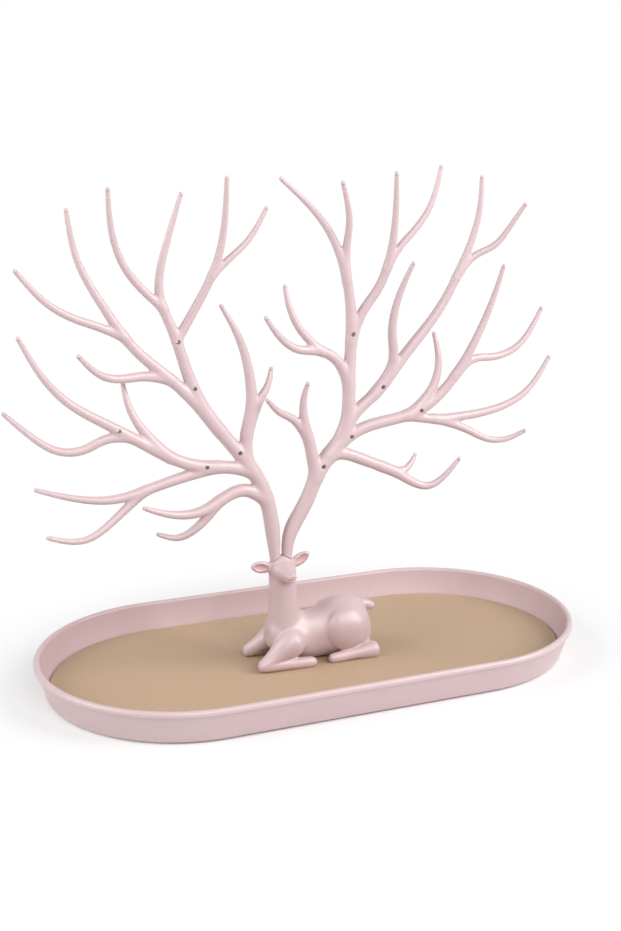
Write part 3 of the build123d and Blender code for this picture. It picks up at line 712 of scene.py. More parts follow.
def tan_leather(settings):
    """Tan leather with a pebbled grain, paler on its crests."""
    material, tree, shader = new_material("tan_leather")
    grain = add_group(tree, grain_group(), -900, 0, Pebble_Scale=1300.0, Wander=0.0005)
    tint = add_node(tree, "ShaderNodeMix", -500, 200)
    tint.data_type = "RGBA"
    tint.inputs["A"].default_value = (*settings.colour, 1)
    tint.inputs["B"].default_value = (*settings.worn_colour, 1)
    blend = add_node(tree, "ShaderNodeMath", -700, 200)
    blend.operation = "MULTIPLY"
    gloss = add_node(tree, "ShaderNodeMapRange", -500, -100, To_Min=0.72, To_Max=0.56)
    link = tree.links.new
    link(grain.outputs["Crest"], blend.inputs[0])
    link(grain.outputs["Patches"], blend.inputs[1])
    link(blend.outputs["Value"], tint.inputs["Factor"])
    link(tint.outputs["Result"], shader.inputs["Base Color"])
    link(grain.outputs["Crest"], gloss.inputs["Value"])
    link(gloss.outputs["Result"], shader.inputs["Roughness"])
    add_bump(tree, shader, grain.outputs["Height"], distance=0.025 * MM)
    return material


def plain_finish(name, colour, cloud_shade, distance, **inputs):
    """A material of one colour with darker clouds, uneven gloss and a fine skin, and its shader."""
    material, tree, shader = new_material(name)
    colour = np.array(colour)
    skin = add_group(tree, moulded_group(), -800, 0, Colour=(*colour, 1),
                     Cloud_Colour=(*(colour * cloud_shade), 1), **inputs)
    tree.links.new(skin.outputs["Colour"], shader.inputs["Base Color"])
    tree.links.new(skin.outputs["Roughness"], shader.inputs["Roughness"])
    add_bump(tree, shader, skin.outputs["Height"], distance)
    return material, shader


def foot_rubber(settings):
    """Grey rubber with a dull skin."""
    material, _ = plain_finish("grey_rubber", settings.rubber_colour, cloud_shade=0.85,
                               distance=0.02 * MM, Cloud_Scale=300.0, Skin_Scale=3000.0,
                               Low_Roughness=0.65, High_Roughness=0.85)
    return material


def screw_steel(settings):
    """Zinc-plated steel, a little cloudy."""
    material, shader = plain_finish("zinc_steel", settings.steel_colour, cloud_shade=0.9,
                                    distance=0.004 * MM, Cloud_Scale=700.0, Skin_Scale=5000.0,
                                    Low_Roughness=0.25, High_Roughness=0.45)
    shader.inputs["Metallic"].default_value = 1.0
    return material


def rounded(corners, steps=6):
    """A line whose corners are arcs: each is a point and a radius, tangent to the runs beside it."""
    points = np.array([point for point, _ in corners], float)
    line = [points[:1]]
    for before, corner, after, (_, radius) in zip(points, points[1:], points[2:], corners[1:]):
        back = unit(before - corner)
        on = unit(after - corner)
        half = np.arccos(np.clip(back @ on, -1, 1)) / 2
        centre = corner + unit(back + on) * radius / np.sin(half)
        start = corner + back * radius / np.tan(half) - centre
        end = corner + on * radius / np.tan(half) - centre
        opening = np.arccos(np.clip(unit(start) @ unit(end), -1, 1))
        shares = np.linspace(0, 1, steps + 1)[:, None]
        arc = (np.sin((1 - shares) * opening) * start + np.sin(shares * opening) * end) / np.sin(opening)
        line.append(centre + arc)
    line.append(points[-1:])
    return np.concatenate(line)


def stadium(profile, end_x, segments):
    """A profile of outward and upward places carried round a slot-shaped path.

    p(i, a) = centre + out_i (cos(a), sin(a)) at height_i, where the centre is at the end of the slot
    that the angle belongs to, and the two straight runs lie between the half circles.
    """
    turns = np.linspace(-pi / 2, pi / 2, segments + 1)
    turns = np.concatenate([turns, turns + pi])
    centres = np.where(np.arange(len(turns)) <= segments, end_x, -end_x)
    x = centres + profile[:, :1] * np.cos(turns)
    y = profile[:, :1] * np.sin(turns)
    z = np.broadcast_to(profile[:, 1:], x.shape)
    return np.stack([x, y, z], axis=-1)


def cad_tray_end():
    """Where the middle of each half-round end lies along the tray."""
    return tray_high[0] - tray_high[1]


def half_circle(radius, steps):
    """A half circle from the lower to the upper pole, as radius and height, without the poles."""
    turns = np.linspace(-pi / 2, pi / 2, steps)[1:-1]
    return radius * np.stack([np.cos(turns), np.sin(turns)], axis=1)


def limb_form(skin, start, end, radius, shares, sides=48):
    """A round limb along a straight line, its radius a smooth curve through the table."""
    run = end - start
    heading = unit(run)
    across = unit(np.cross(run, (0, 0, 1)))
    table = spline(shares, np.linspace(0, 1, 60))
    along = table[:, :1]
    radii = radius * table[:, 1:]
    skin.add_oval(start + run * along, radii * across, radii * np.cross(heading, across), sides)


def tray_section(settings):
    """The tray's section as outward and upward places.

    The outside climbs from the underside along the leaning wall to the lip's skirt. The lip's top is a
    half circle, and the inside runs straight down from it to the floor.
    """
    outer = tray_high[1]
    run_in = 4 * MM
    lip_radius = settings.lip / 2
    lip_z = tray_high[2] - lip_radius
    skirt_z = lip_z - settings.lip_skirt
    wall_top = outer - settings.lip_overhang
    base = wall_top - settings.flare
    slope = settings.flare / (skirt_z - UNDERSIDE_Z)
    floor = wall_top - settings.wall - slope * (skirt_z - FLOOR_Z)
    outside = rounded([((base - run_in, UNDERSIDE_Z), 0), ((base, UNDERSIDE_Z), settings.base_round),
                       ((wall_top, skirt_z), FINE), ((outer, skirt_z), FINE), ((outer, lip_z), 0)])
    turns = np.linspace(0, pi, 25)[1:-1, None]
    top = np.concatenate([outer - lip_radius + lip_radius * np.cos(turns),
                          lip_z + lip_radius * np.sin(turns)], axis=1)
    inside = rounded([((outer - settings.lip, lip_z), 0), ((floor, FLOOR_Z), 2 * FINE),
                      ((floor - run_in, FLOOR_Z), 0)])
    return np.concatenate([outside, top, inside])


def tray_cuts(fixings):
    """Flared recesses for the feet and countersunk holes for the screws, as closed turned shapes."""
    cuts = Skin()
    below = UNDERSIDE_Z - PAST
    above = FLOOR_Z + PAST
    flare = 0.25 * MM
    for foot in FOOT_CORNERS:
        low, high = (np.array(corner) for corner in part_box(f"foot_{foot}"))
        recess = (high[0] - low[0]) / 2 + SLIP
        profile = [(POLE, below), (recess + flare, below), (recess + flare, UNDERSIDE_Z),
                   (recess, UNDERSIDE_Z + flare), (recess, high[2] - FINE), (recess - FINE, high[2]),
                   (POLE, high[2])]
        cuts.add_lathe(profile, ((low[0] + high[0]) / 2, (low[1] + high[1]) / 2, 0))
    shank = fixings.screw_diameter / 2 + SLIP
    head = fixings.head_diameter / 2 + SLIP
    for x in (fixings.front_screw_x, fixings.rear_screw_x):
        profile = [(POLE, below), (head, below), (head, UNDERSIDE_Z),
                   (shank, UNDERSIDE_Z + head - shank), (shank, above), (POLE, above)]
        cuts.add_lathe(profile, (x, 0, 0))
    return cuts


class JEWELTREE_OT_tray(bpy.types.Operator):
    """Makes the tray: one section carried round its slot-shaped outline"""

    bl_idname = "jewellery_tree.tray"
    bl_label = "Tray"

    def execute(self, context):
        settings = context.scene.tree_tray
        skin = Skin()
        skin.add_rings(stadium(tray_section(settings), cad_tray_end(), settings.end_segments))
        obj = new_piece("tray_moulding", skin.mesh("tray_moulding"))
        mesh = carve(obj, tray_cuts(context.scene.tree_fixings), "DIFFERENCE")
        shade(mesh, angle=32)
        place(obj, pink_plastic(context.scene.tree_plastic), "stand", "pink_plastic", "tray")
        return {"FINISHED"}


def pad_dips(x, y):
    """How far the sheet dips, from 0 to 1: a quilted and a slanting wave, and none under the deer."""
    # Waves in radians per metre, where the quilt's waves start, and the half size of the flat place
    quilt_x, quilt_y = 71, 93
    slant_x, slant_y = 33, 57
    shift_x, shift_y = 1.3, -0.4
    flat_x, flat_y = 34 * MM, 22 * MM
    quilt = np.sin(x * quilt_x + shift_x) * np.cos(y * quilt_y + shift_y)
    wave = 0.5 + 0.25 * quilt + 0.25 * np.sin(x * slant_x - y * slant_y)
    under_deer = np.exp(-((x / flat_x) ** 4) - (y / flat_y) ** 4)
    return wave * (1 - under_deer)


class JEWELTREE_OT_pad(bpy.types.Operator):
    """Makes the pad: a thin leather sheet laid on the tray's floor"""

    bl_idname = "jewellery_tree.pad"
    bl_label = "Pad"

    def execute(self, context):
        settings = context.scene.tree_pad
        end_x = cad_tray_end()
        edge = pad_high[0] - end_x
        hem = 2 * MM
        lift = 0.02 * MM
        sole_round = 0.2 * MM
        sole_z = FLOOR_Z + lift
        border = rounded([((edge - 3 * hem, sole_z), 0), ((edge, sole_z), sole_round),
                          ((edge, PAD_Z), settings.edge_round), ((edge - hem, PAD_Z), 0)])
        inner = np.linspace(edge - 2 * hem, hem, 30)
        top = np.stack([inner, np.full_like(inner, PAD_Z)], axis=1)
        rings = stadium(np.concatenate([border, top]), end_x, context.scene.tree_tray.end_segments)
        x, y, z = np.moveaxis(rings, -1, 0)
        on_top = smooth_step((FLOOR_Z + PAD_Z) / 2, PAD_Z, z)
        rings[..., 2] = z - settings.waviness * on_top * pad_dips(x, y)
        skin = Skin()
        skin.add_rings(rings)
        obj = new_piece("pad_leather", skin.mesh("pad_leather"))
        shade(obj.data, angle=50)
        place(obj, tan_leather(settings), "stand", "tan_pad", "tray_pad")
        return {"FINISHED"}


def on_pad(place_mm, side=1):
    """A place of the deer's tables, on one side of the tray's middle line, in metres."""
    along, across, height = place_mm
    return np.array([along * MM, side * across * MM, PAD_Z + height * MM])


def skull_of(deer):
    """Middle of the deer's round skull."""
    return np.array([deer.skull_x, 0, PAD_Z + deer.skull_z])


def ear_frames(deer):
    """For the left and the right ear: its root, the way it points and the way across its leaf."""
    frames = []
    for side, lift in ((-1, deer.left_ear_lift), (1, deer.right_ear_lift)):
        heading = np.array([side * cos(lift), 0, sin(lift)])
        root = skull_of(deer) + np.array([side * deer.ear_out, 0, deer.ear_up])
        frames.append((root, heading, np.cross(heading, (0, 1, 0))))
    return frames


def deer_trunk(forms, deer):
    """Body, neck, skull and head: ovals whose middles and halves are splines through the tables."""
    shares = np.linspace(0, 1, 90)
    zero = np.zeros_like(shares)
    skull = skull_of(deer)
    neck_foot = on_pad(DEER_PLACES["neck_foot"])
    along, middle, half_height, half_width = spline(BODY_SHARES, shares).T
    forms.add_oval(np.stack([deer.body_front_x + deer.body_length * along, zero,
                             PAD_Z + deer.body_height * middle], axis=1),
                   np.stack([zero, deer.body_width * half_width, zero], axis=1),
                   np.stack([zero, zero, deer.body_height * half_height], axis=1), 72)
    rise, lean, half_length, half_width = spline(NECK_SHARES, shares).T
    forms.add_oval(np.stack([neck_foot[0] + (skull[0] - neck_foot[0]) * lean, zero,
                             neck_foot[2] + (skull[2] - neck_foot[2]) * rise], axis=1),
                   np.stack([deer.neck_girth * half_length, zero, zero], axis=1),
                   np.stack([zero, deer.neck_girth * half_width, zero], axis=1), 64)
    forms.add_lathe(half_circle(deer.skull_radius, 40), skull)
    ahead, drop, half_width, half_depth = spline(HEAD_SHARES, shares).T
    forms.add_oval(np.stack([zero + skull[0], deer.head_back - deer.head_length * ahead,
                             skull[2] - deer.head_drop * drop], axis=1),
                   np.stack([deer.head_width * half_width, zero, zero], axis=1),
                   np.stack([zero, zero, deer.head_width * half_depth], axis=1), 64)


def deer_limbs(forms, deer):
    """Tail, legs and ears. An ear is a flat oval whose breadth follows its table."""
    tail_radius = 2.5 * MM
    tail_root = on_pad(DEER_PLACES["tail_root"])
    tail_tip = on_pad(DEER_PLACES["tail_tip"])
    limb_form(forms, tail_root, tail_tip, tail_radius, TAIL_SHARES)
    for side in (-1, 1):
        for root, tip, radius, shares in LEG_FORMS:
            ends = [on_pad(DEER_PLACES[name], side) for name in (root, tip)]
            limb_form(forms, *ends, radius * MM, shares)
    fullness = 1.4
    table = spline(EAR_SHARES, np.linspace(0, 1, 60))
    thickness = np.minimum(table[:, 1:] * fullness, 1) * deer.ear_thickness / 2
    for root, heading, broad in ear_frames(deer):
        forms.add_oval(root + heading * deer.ear_length * table[:, :1], np.array([0, 1, 0]) * thickness,
                       broad * deer.ear_width / 2 * table[:, 1:])


def blend_forms(mesh, skull):
    """Relaxes the skin around the places of the table and the throat, so that forms flow together."""
    throat = skull - np.array([0, 0, 5 * MM])
    throat_size = 8 * MM
    spheres = [(on_pad(centre, side), size * MM) for centre, size in BLENDS for side in (-1, 1)]
    spheres.append((throat, throat_size))
    points = points_of(mesh)
    blend = np.zeros(len(points))
    for centre, size in spheres:
        away = np.linalg.norm(points - centre, axis=1)
        blend = np.maximum(blend, 1 - smooth_step(0.5 * size, size, away))
    relax(mesh, strength=0.5 * blend[:, None], passes=200)


def shape_face(mesh, skull):
    """Slopes the brow down to the nose and presses in the mouth's line.

    The brow's ridge falls forwards and to both sides, and most of what stands above it is taken away.
    The mouth is a groove along the normals, as deep as exp(-(h / w)^2) at the height h from its line.
    """
    ridge_height = 5.2 * MM
    ridge_y = -1.0 * MM
    forward_fall = 0.34
    sideways_fall = 0.30
    brow_cut = 0.9
    brow_start, brow_full = -1.5 * MM, -4 * MM
    face_half_width = 8 * MM
    face_depth = 4 * MM
    mouth_start, mouth_full = -9 * MM, -11 * MM
    mouth_drop = 1.9 * MM
    mouth_width = 0.32 * MM
    mouth_depth = 0.55 * MM
    mouth_half_length = 4 * MM
    points = points_of(mesh)
    y = points[:, 1]
    beside = np.abs(points[:, 0] - skull[0])
    ridge = skull[2] + ridge_height + forward_fall * (y - ridge_y) - sideways_fall * beside
    on_face = (beside < face_half_width) * (points[:, 2] > skull[2] - face_depth)
    brow = smooth_step(brow_start, brow_full, y) * on_face
    points[:, 2] -= brow_cut * brow * np.maximum(points[:, 2] - ridge, 0)
    mouth = np.exp(-(((points[:, 2] - skull[2] + mouth_drop) / mouth_width) ** 2))
    mouth *= smooth_step(mouth_start, mouth_full, y) * (beside < mouth_half_length)
    move_points(mesh, points - mouth_depth * mouth[:, None] * normals_of(mesh))
    relax(mesh, strength=0.3, passes=2)


def deer_cuts(deer, antlers):
    """Two keyed sockets in the skull's top, and a dish of the ear's own outline in each ear."""
    cuts = Skin()
    half_u = antlers.tenon_width / 2 + antlers.slip_gap
    half_v = antlers.tenon_thickness / 2 + antlers.slip_gap
    top = PAD_Z + deer.skull_z + deer.skull_radius
    for side in (-1, 1):
        middle_x = deer.skull_x + side * antlers.pitch / 2
        cuts.add_box((middle_x - half_u, -half_v, top - antlers.tenon_length - antlers.slip_gap),
                     (middle_x + half_u, half_v, top + PAST))
    dish_start = 0.24
    dish_share = 0.68
    front = np.array([0, -deer.ear_thickness / 2, 0])
    table = spline(EAR_SHARES, np.linspace(0, 1, 40))
    for root, heading, broad in ear_frames(deer):
        path = root + front + heading * deer.ear_length * (dish_start + dish_share * table[:, :1])
        deep = np.array([0, deer.dish_depth, 0]) * table[:, 1:]
        cuts.add_oval(path, deep, broad * deer.ear_width / 2 * dish_share * table[:, 1:])
    return cuts


def below_pad():
    """A block under the pad's face, which cuts the deer's sole flat."""
    block = Skin()
    half_x, half_y, depth = 50 * MM, 30 * MM, 20 * MM
    block.add_box((-half_x, -half_y, PAD_Z - depth), (half_x, half_y, PAD_Z))
    return block


def paint_blush(mesh, deer):
    """Writes an attribute that is 1 inside the ears, less on the nose and 0 away from both.

    In an ear it fades out with the depth and with the shares of the ear's length and half width.
    """
    points = points_of(mesh)
    blush = np.zeros(len(points))
    nose_blush = 0.8
    ear_front = -3 * MM
    for root, heading, broad in ear_frames(deer):
        offset = points - root
        share = offset @ heading / deer.ear_length
        across = np.abs(offset @ broad) / (deer.ear_width / 2)
        front = smooth_step(0.9 * MM, 0.4 * MM, offset[:, 1]) * (offset[:, 1] > ear_front)
        inside = smooth_step(0.15, 0.30, share) * smooth_step(0.92, 0.84, share)
        blush = np.maximum(blush, inside * front * smooth_step(0.76, 0.60, across))
    nose = skull_of(deer) + np.array([0, deer.head_back - deer.head_length, -deer.head_drop])
    near_nose = 1 - smooth_step(0.8 * MM, 2.6 * MM, np.linalg.norm(points - nose, axis=1))
    blush = np.maximum(blush, nose_blush * near_nose)
    mesh.attributes.new("blush", "FLOAT", "POINT").data.foreach_set("value", blush.astype(np.float32))


class JEWELTREE_OT_deer(bpy.types.Operator):
    """Makes the deer: swelling forms fused to one skin, with sockets for the antlers"""

    bl_idname = "jewellery_tree.deer"
    bl_label = "Deer"

    def execute(self, context):
        deer = context.scene.tree_deer
        skull = skull_of(deer)
        forms = Skin()
        deer_trunk(forms, deer)
        deer_limbs(forms, deer)
        obj = new_piece("deer_figure", forms.mesh("deer_figure"))
        mesh = fuse(obj, deer.voxel)
        polish(mesh, passes=4)
        blend_forms(mesh, skull)
        shape_face(mesh, skull)
        carve(obj, below_pad(), "DIFFERENCE")
        mesh = carve(obj, deer_cuts(deer, context.scene.tree_antlers), "DIFFERENCE")
        shade(mesh, angle=38)
        paint_blush(mesh, deer)
        place(obj, pink_plastic(context.scene.tree_plastic), "stand", "pink_plastic", "deer")
        return {"FINISHED"}


def limb_radius(girth, share, settings):
    """Radius at a share of a limb's length, which falls with a power of it from the fork to the tip."""
    return (girth + (settings.tip_diameter - girth) * np.asarray(share) ** TAPER) / 2


def grow_limbs(side, root, limb_shares, settings):
    """Route, girth, path and radii of every limb, each grown from the limb that carries it.

    A limb passes through its table's points, as a spline. Its lean grows with the square of the way
    along, and its girth at the fork is a share of its carrier's there.
    """
    path_step = 0.7 * MM
    limbs = {}
    for name, (carrier, attach_share, lean_share, points) in limb_shares.items():
        if carrier is None:
            start = root - np.array([0, 0, settings.root_sink])
            girth = settings.trunk_diameter
        else:
            carrier_points, carrier_girth = limbs[carrier][:2]
            girth = FORK_GIRTH * 2 * limb_radius(carrier_girth, attach_share, settings)
            run = np.linalg.norm(np.diff(carrier_points, axis=0), axis=1).sum()
            start = spline(carrier_points, attach_share - settings.fork_lead * girth / run)[0]
        table = np.array(points)
        lean = (np.arange(1, len(table) + 1) / len(table)) ** 2
        route = np.stack([root[0] + side * table[:, 0] * settings.reach,
                          start[1] + (lean_share * settings.spread - start[1]) * lean,
                          root[2] + table[:, 1] * settings.rise], axis=1)
        route = np.concatenate([start[None], route])
        length = np.linalg.norm(np.diff(route, axis=0), axis=1).sum()
        shares = np.linspace(0, 1, ceil(length / path_step))
        path = spline(route, shares)
        radii = limb_radius(girth, shares, settings)
        if carrier is None:
            neck = smooth_step(0, 1, shares * len(table))
            radii = settings.root_diameter / 2 + (radii - settings.root_diameter / 2) * neck
        limbs[name] = (route, girth, path, radii)
    return limbs


def soft_union(points, limbs, softness):
    """Distance of each point from the soft union of the round limbs, and the way out from it.

    Each limb gives a gap: the distance from its line less its radius there. The soft union is where
    -s log(sum of exp(-gap / s)) is zero, so limbs that meet flow together in fillets of about s.
    Every second point of a limb's path, counted from its tip, is near enough for this.
    """
    total = np.zeros(len(points))
    outward = np.zeros_like(points)
    for _, _, path, radii in limbs.values():
        line = path[::-2][::-1]
        widths = radii[::-2][::-1]
        station = ((line**2).sum(axis=1) - 2 * points @ line.T).argmin(axis=1)
        lengths = np.concatenate([[0], np.cumsum(np.linalg.norm(np.diff(line, axis=0), axis=1))])
        heading = unit(np.gradient(line, axis=0))[station]
        offset = points - line[station]
        ahead = (offset * heading).sum(axis=1) * (station > 0) * (station < len(line) - 1)
        offset -= ahead[:, None] * heading
        away = np.maximum(np.linalg.norm(offset, axis=1), POLE)
        gap = away - widths[station] - np.gradient(widths, lengths)[station] * ahead
        weight = np.exp(-gap / softness)
        total += weight
        outward += offset * (weight / away)[:, None]
    return -softness * np.log(total), unit(outward)


def settle(mesh, limbs, softness, passes):
    """Moves the vertices onto the soft union of the round limbs, in a few steps."""
    points = points_of(mesh)
    for _ in range(passes):
        distance, outward = soft_union(points, limbs, softness)
        points = points - distance[:, None] * outward
    move_points(mesh, points)


def even_shading(mesh, limbs, softness):
    """Gives vertices on the soft union its own normals, so cells don't show in the gloss."""
    touching = 0.02 * MM
    distance, outward = soft_union(points_of(mesh), limbs, softness)
    on_limb = np.abs(distance) < touching
    mesh.normals_split_custom_set_from_vertices(outward * on_limb[:, None])


def antler_forms(limbs):
    """Every limb as a tube that ends in a dome: a circle carried along the limb's path."""
    dome_turn = 0.46 * pi
    dome_rise = 0.9
    dome = np.linspace(0, dome_turn, 7)[1:]
    forms = Skin()
    for _, _, path, radii in limbs.values():
        heading = unit(path[-1] - path[-2])
        cap = path[-1] + heading * (dome_rise * radii[-1] * np.sin(dome))[:, None]
        cap_radii = radii[-1] * np.cos(dome)
        forms.add_tube(np.concatenate([path, cap]), np.concatenate([radii, cap_radii]))
    return forms


def stud_holes(limbs, stud_shares, settings):
    """Holes that run back through the limbs, each flared at both ends."""
    holes = Skin()
    bore = settings.stud_hole / 2
    sink = 0.22 * MM
    mouth = bore + 3 * sink
    for name, share in stud_shares:
        route, girth = limbs[name][:2]
        reach = limb_radius(girth, share, settings)
        profile = [(mouth, -reach - 2 * sink), (bore, -reach + sink), (bore, reach - sink),
                   (mouth, reach + 2 * sink)]
        holes.add_lathe(profile, spline(route, share)[0], 32, axis="Y")
    return holes


class JEWELTREE_OT_antlers(bpy.types.Operator):
    """Makes both antlers: tapering limbs fused at their forks, with tenons and holes for ear studs"""

    bl_idname = "jewellery_tree.antlers"
    bl_label = "Antlers"

    def execute(self, context):
        self.make(context, "left_antler", -1, LEFT_LIMB_SHARES, LEFT_STUD_SHARES)
        self.make(context, "right_antler", 1, RIGHT_LIMB_SHARES, RIGHT_STUD_SHARES)
        return {"FINISHED"}

    def make(self, context, node, side, limb_shares, stud_shares):
        """One antler from its limb table, with a saddle that fits the skull and a keyed tenon."""
        settings = context.scene.tree_antlers
        deer = context.scene.tree_deer
        skull = skull_of(deer)
        root = skull + np.array([side * settings.pitch / 2, 0, deer.skull_radius])
        limbs = grow_limbs(side, root, limb_shares, settings)
        obj = new_piece(f"{node}_limbs", antler_forms(limbs).mesh(f"{node}_limbs"))
        mesh = fuse(obj, settings.voxel)
        relax(mesh, strength=0.5, passes=6)
        settle(mesh, limbs, settings.fillet, passes=2)
        saddle = Skin()
        saddle.add_lathe(half_circle(deer.skull_radius + settings.saddle_gap, 48), skull, 96)
        carve(obj, saddle, "DIFFERENCE")
        half_u = settings.tenon_width / 2
        half_v = settings.tenon_thickness / 2
        tenon = Skin()
        tenon.add_box((root[0] - half_u, -half_v, root[2] - settings.tenon_length),
                      (root[0] + half_u, half_v, root[2] + settings.root_sink))
        carve(obj, tenon, "UNION")
        mesh = carve(obj, stud_holes(limbs, stud_shares, settings), "DIFFERENCE")
        shade(mesh, angle=62)
        even_shading(mesh, limbs, settings.fillet)
        place(obj, pink_plastic(context.scene.tree_plastic), node, "pink_plastic", node)


class JEWELTREE_OT_feet(bpy.types.Operator):
    """Makes the four feet: turned discs with a rounded lower edge"""

    bl_idname = "jewellery_tree.feet"
    bl_label = "Feet"

    def execute(self, context):
        settings = context.scene.tree_fixings
        rubber = foot_rubber(settings)
        for corner in FOOT_CORNERS:
            low, high = (np.array(point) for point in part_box(f"foot_{corner}"))
            radius = (high[0] - low[0]) / 2
            profile = rounded([((POLE, low[2]), 0), ((radius, low[2]), settings.foot_round),
                               ((radius, high[2]), FINE), ((POLE, high[2]), 0)])
            skin = Skin()
            skin.add_lathe(profile, ((low[0] + high[0]) / 2, (low[1] + high[1]) / 2, 0), 72)
            obj = new_piece(f"foot_{corner}_disc", skin.mesh(f"foot_{corner}_disc"))
            shade(obj.data, angle=40)
            place(obj, rubber, "stand", "foot_rubber", f"foot_{corner}")
        return {"FINISHED"}


class JEWELTREE_OT_screws(bpy.types.Operator):
    """Makes the two screws: turned, with a cross recess in each head"""

    bl_idname = "jewellery_tree.screws"
    bl_label = "Screws"

    def execute(self, context):
        settings = context.scene.tree_fixings
        shank = settings.screw_diameter / 2
        head = settings.head_diameter / 2
        tip_z = UNDERSIDE_Z + settings.screw_length
        head_edge = 0.08 * MM
        shank_edge = 0.1 * MM
        profile = rounded([((POLE, UNDERSIDE_Z), 0), ((head, UNDERSIDE_Z), head_edge),
                           ((shank, UNDERSIDE_Z + settings.head_height), shank_edge),
                           ((shank, tip_z - shank), shank_edge), ((POLE, tip_z), 0)])
        arm = 1.5 * MM
        slim = 0.32 * MM
        recess_z = UNDERSIDE_Z + 1.1 * MM
        screws = Skin()
        recess = Skin()
        for x in (settings.front_screw_x, settings.rear_screw_x):
            screws.add_lathe(profile, (x, 0, 0), 64)
            for half_u, half_v in ((arm, slim), (slim, arm)):
                recess.add_box((x - half_u, -half_v, UNDERSIDE_Z - PAST), (x + half_u, half_v, recess_z))
        obj = new_piece("deer_screws_turned", screws.mesh("deer_screws_turned"))
        shade(carve(obj, recess, "DIFFERENCE", "EXACT"), angle=40)
        place(obj, screw_steel(settings), "stand", "screw_steel", "deer_screws")
        return {"FINISHED"}


class JEWELTREE_OT_stage(bpy.types.Operator):
    """Sets the pale floor, the soft light and the camera"""

    bl_idname = "jewellery_tree.stage"
    bl_label = "Stage"

    def execute(self, context):
        settings = context.scene.tree_stage
        scene = context.scene
        scene.view_settings.view_transform = "Standard"
        size = 3.0
        floor_mesh = bpy.data.meshes.new("stage_floor")
        corners = [(-size, -size, 0), (size, -size, 0), (size, size, 0), (-size, size, 0)]
        floor_mesh.from_pydata(corners, [], [(0, 1, 2, 3)])
        floor = new_piece("stage_floor", floor_mesh)
        floor_mesh.materials.append(self.floor_material())
        self.add_sky(scene, settings.sky_strength)
        for name, (location, target, power) in LIGHTS.items():
            self.add_light(name, location, target, getattr(settings, power))
        camera = bpy.data.objects.new("camera", bpy.data.cameras.new("camera"))
        scene.collection.objects.link(camera)
        camera.data.sensor_fit = "VERTICAL"
        camera.data.sensor_height = 36
        camera.data.lens = settings.lens
        camera.data.clip_start = 0.01
        self.aim(camera, settings.eye, settings.target)
        scene.camera = camera
        return {"FINISHED"}

    def aim(self, obj, location, target):
        """Puts a camera or light at a place and turns it towards a point."""
        obj.location = location
        obj.rotation_euler = (Vector(target) - Vector(location)).to_track_quat("-Z", "Y").to_euler()

    def add_light(self, name, location, target, power):
        """A square soft light aimed at a point."""
        light = bpy.data.lights.new(name, "AREA")
        light.shape = "SQUARE"
        light.size = LIGHT_SIZE
        light.energy = power
        obj = bpy.data.objects.new(name, light)
        self.aim(obj, location, target)
        bpy.context.scene.collection.objects.link(obj)

    def seen_by_eye(self, tree):
        """1 for rays that show the background itself or its mirror image, else 0."""
        path = add_node(tree, "ShaderNodeLightPath", -900, 300)
        either = add_node(tree, "ShaderNodeMath", -650, 300)
        either.operation = "MAXIMUM"
        any_of = add_node(tree, "ShaderNodeMath", -450, 300)
        any_of.operation = "MAXIMUM"
        tree.links.new(path.outputs["Is Camera Ray"], either.inputs[0])
        tree.links.new(path.outputs["Is Glossy Ray"], either.inputs[1])
        tree.links.new(either.outputs["Value"], any_of.inputs[0])
        tree.links.new(path.outputs["Is Transmission Ray"], any_of.inputs[1])
        return any_of.outputs["Value"]

    def add_sky(self, scene, strength):
        """Even white light, plain white where it is seen."""
        world = bpy.data.worlds.new("stage_sky")
        scene.world = world
        world.use_nodes = True
        tree = world.node_tree
        tree.nodes.clear()
        light = add_node(tree, "ShaderNodeBackground", -200, 100, Color=(1, 1, 1, 1), Strength=strength)
        white = add_node(tree, "ShaderNodeBackground", -200, -100, Color=(1, 1, 1, 1), Strength=1.0)
        mix = add_node(tree, "ShaderNodeMixShader", 50, 0)
        out = add_node(tree, "ShaderNodeOutputWorld", 250, 0)
        tree.links.new(self.seen_by_eye(tree), mix.inputs["Fac"])
        tree.links.new(light.outputs["Background"], mix.inputs[1])
        tree.links.new(white.outputs["Background"], mix.inputs[2])
        tree.links.new(mix.outputs["Shader"], out.inputs["Surface"])

    def floor_material(self):
        """White floor that keeps the shadow near the object and turns plain white away from it."""
        material, tree, shader = new_material("stage_floor")
        shader.inputs["Base Color"].default_value = (0.86, 0.86, 0.86, 1)
        shader.inputs["Roughness"].default_value = 0.9
        shader.inputs["Specular IOR Level"].default_value = 0.0
        place_on = add_node(tree, "ShaderNodeTexCoord", -1100, -200)
        centred = add_node(tree, "ShaderNodeMapping", -900, -200)
        centred.inputs["Scale"].default_value = (1.0, 1.25, 1.0)
        away = add_node(tree, "ShaderNodeVectorMath", -700, -200)
        away.operation = "LENGTH"
        fade = add_node(tree, "ShaderNodeMapRange", -500, -200, From_Min=0.09, From_Max=0.19)
        fade.interpolation_type = "SMOOTHSTEP"
        both = add_node(tree, "ShaderNodeMath", -250, 0)
        both.operation = "MULTIPLY"
        white = add_node(tree, "ShaderNodeEmission", 0, -200, Strength=1.0)
        mix = add_node(tree, "ShaderNodeMixShader", 300, 0)
        link = tree.links.new
        link(place_on.outputs["Object"], centred.inputs["Vector"])
        link(centred.outputs["Vector"], away.inputs[0])
        link(away.outputs["Value"], fade.inputs["Value"])
        link(self.seen_by_eye(tree), both.inputs[0])
        link(fade.outputs["Result"], both.inputs[1])
        link(both.outputs["Value"], mix.inputs["Fac"])
        link(shader.outputs["BSDF"], mix.inputs[1])
        link(white.outputs["Emission"], mix.inputs[2])
        link(mix.outputs["Shader"], tree.nodes["Material Output"].inputs["Surface"])
        return material


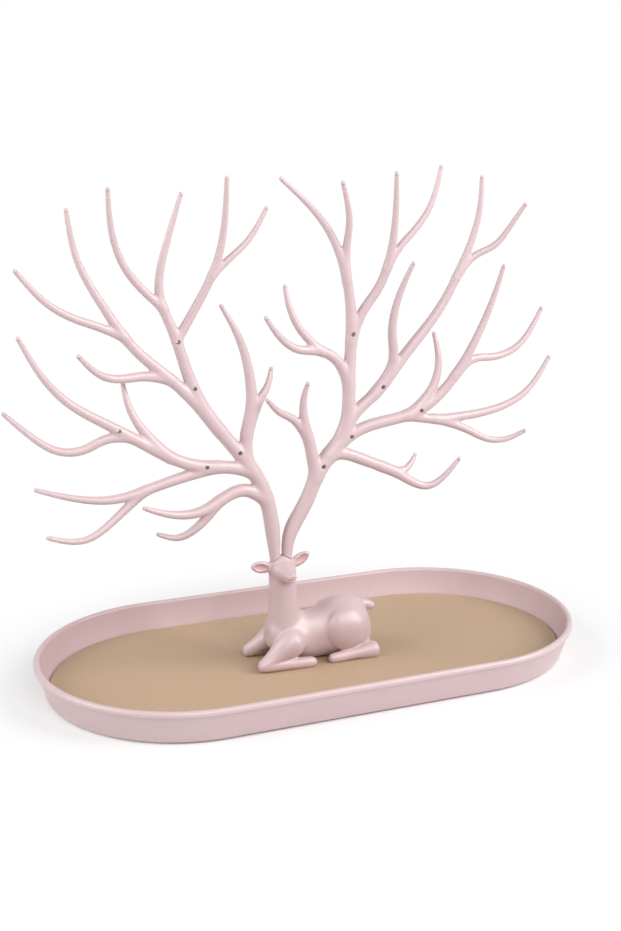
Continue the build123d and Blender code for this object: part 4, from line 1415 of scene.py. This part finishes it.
class JEWELTREE_PT_panel(bpy.types.Panel):
    """Lists the pieces and their sizes"""

    bl_idname = "JEWELTREE_PT_panel"
    bl_label = "Jewellery Tree"
    bl_space_type = "VIEW_3D"
    bl_region_type = "UI"
    bl_category = "Jewellery Tree"

    def draw(self, context):
        for name, operator in PIECES:
            box = self.layout.box()
            box.operator(operator)
            settings = getattr(context.scene, name)
            for key in settings.__annotations__:
                box.prop(settings, key)


SETTINGS = {
    "tree_tray": TraySettings,
    "tree_pad": PadSettings,
    "tree_plastic": PlasticSettings,
    "tree_deer": DeerSettings,
    "tree_antlers": AntlerSettings,
    "tree_fixings": FixingSettings,
    "tree_stage": StageSettings,
}
PIECES = [
    ("tree_tray", "jewellery_tree.tray"),
    ("tree_pad", "jewellery_tree.pad"),
    ("tree_deer", "jewellery_tree.deer"),
    ("tree_antlers", "jewellery_tree.antlers"),
    ("tree_fixings", "jewellery_tree.feet"),
    ("tree_fixings", "jewellery_tree.screws"),
    ("tree_stage", "jewellery_tree.stage"),
]
CLASSES = (*SETTINGS.values(), JEWELTREE_OT_tray, JEWELTREE_OT_pad, JEWELTREE_OT_deer,
           JEWELTREE_OT_antlers, JEWELTREE_OT_feet, JEWELTREE_OT_screws, JEWELTREE_OT_stage,
           JEWELTREE_PT_panel)


def register():
    """Registers the classes and hangs the settings on the scene."""
    for cls in CLASSES:
        bpy.utils.register_class(cls)
    for name, cls in SETTINGS.items():
        setattr(bpy.types.Scene, name, PointerProperty(type=cls))


def unregister():
    """Takes the settings off the scene and unregisters the classes."""
    for name in SETTINGS:
        delattr(bpy.types.Scene, name)
    for cls in reversed(CLASSES):
        bpy.utils.unregister_class(cls)


def main():
    """Makes every piece and the stage."""
    register()
    bpy.ops.jewellery_tree.tray()
    bpy.ops.jewellery_tree.pad()
    bpy.ops.jewellery_tree.deer()
    bpy.ops.jewellery_tree.antlers()
    bpy.ops.jewellery_tree.feet()
    bpy.ops.jewellery_tree.screws()
    bpy.ops.jewellery_tree.stage()


if __name__ == "__main__":
    main()
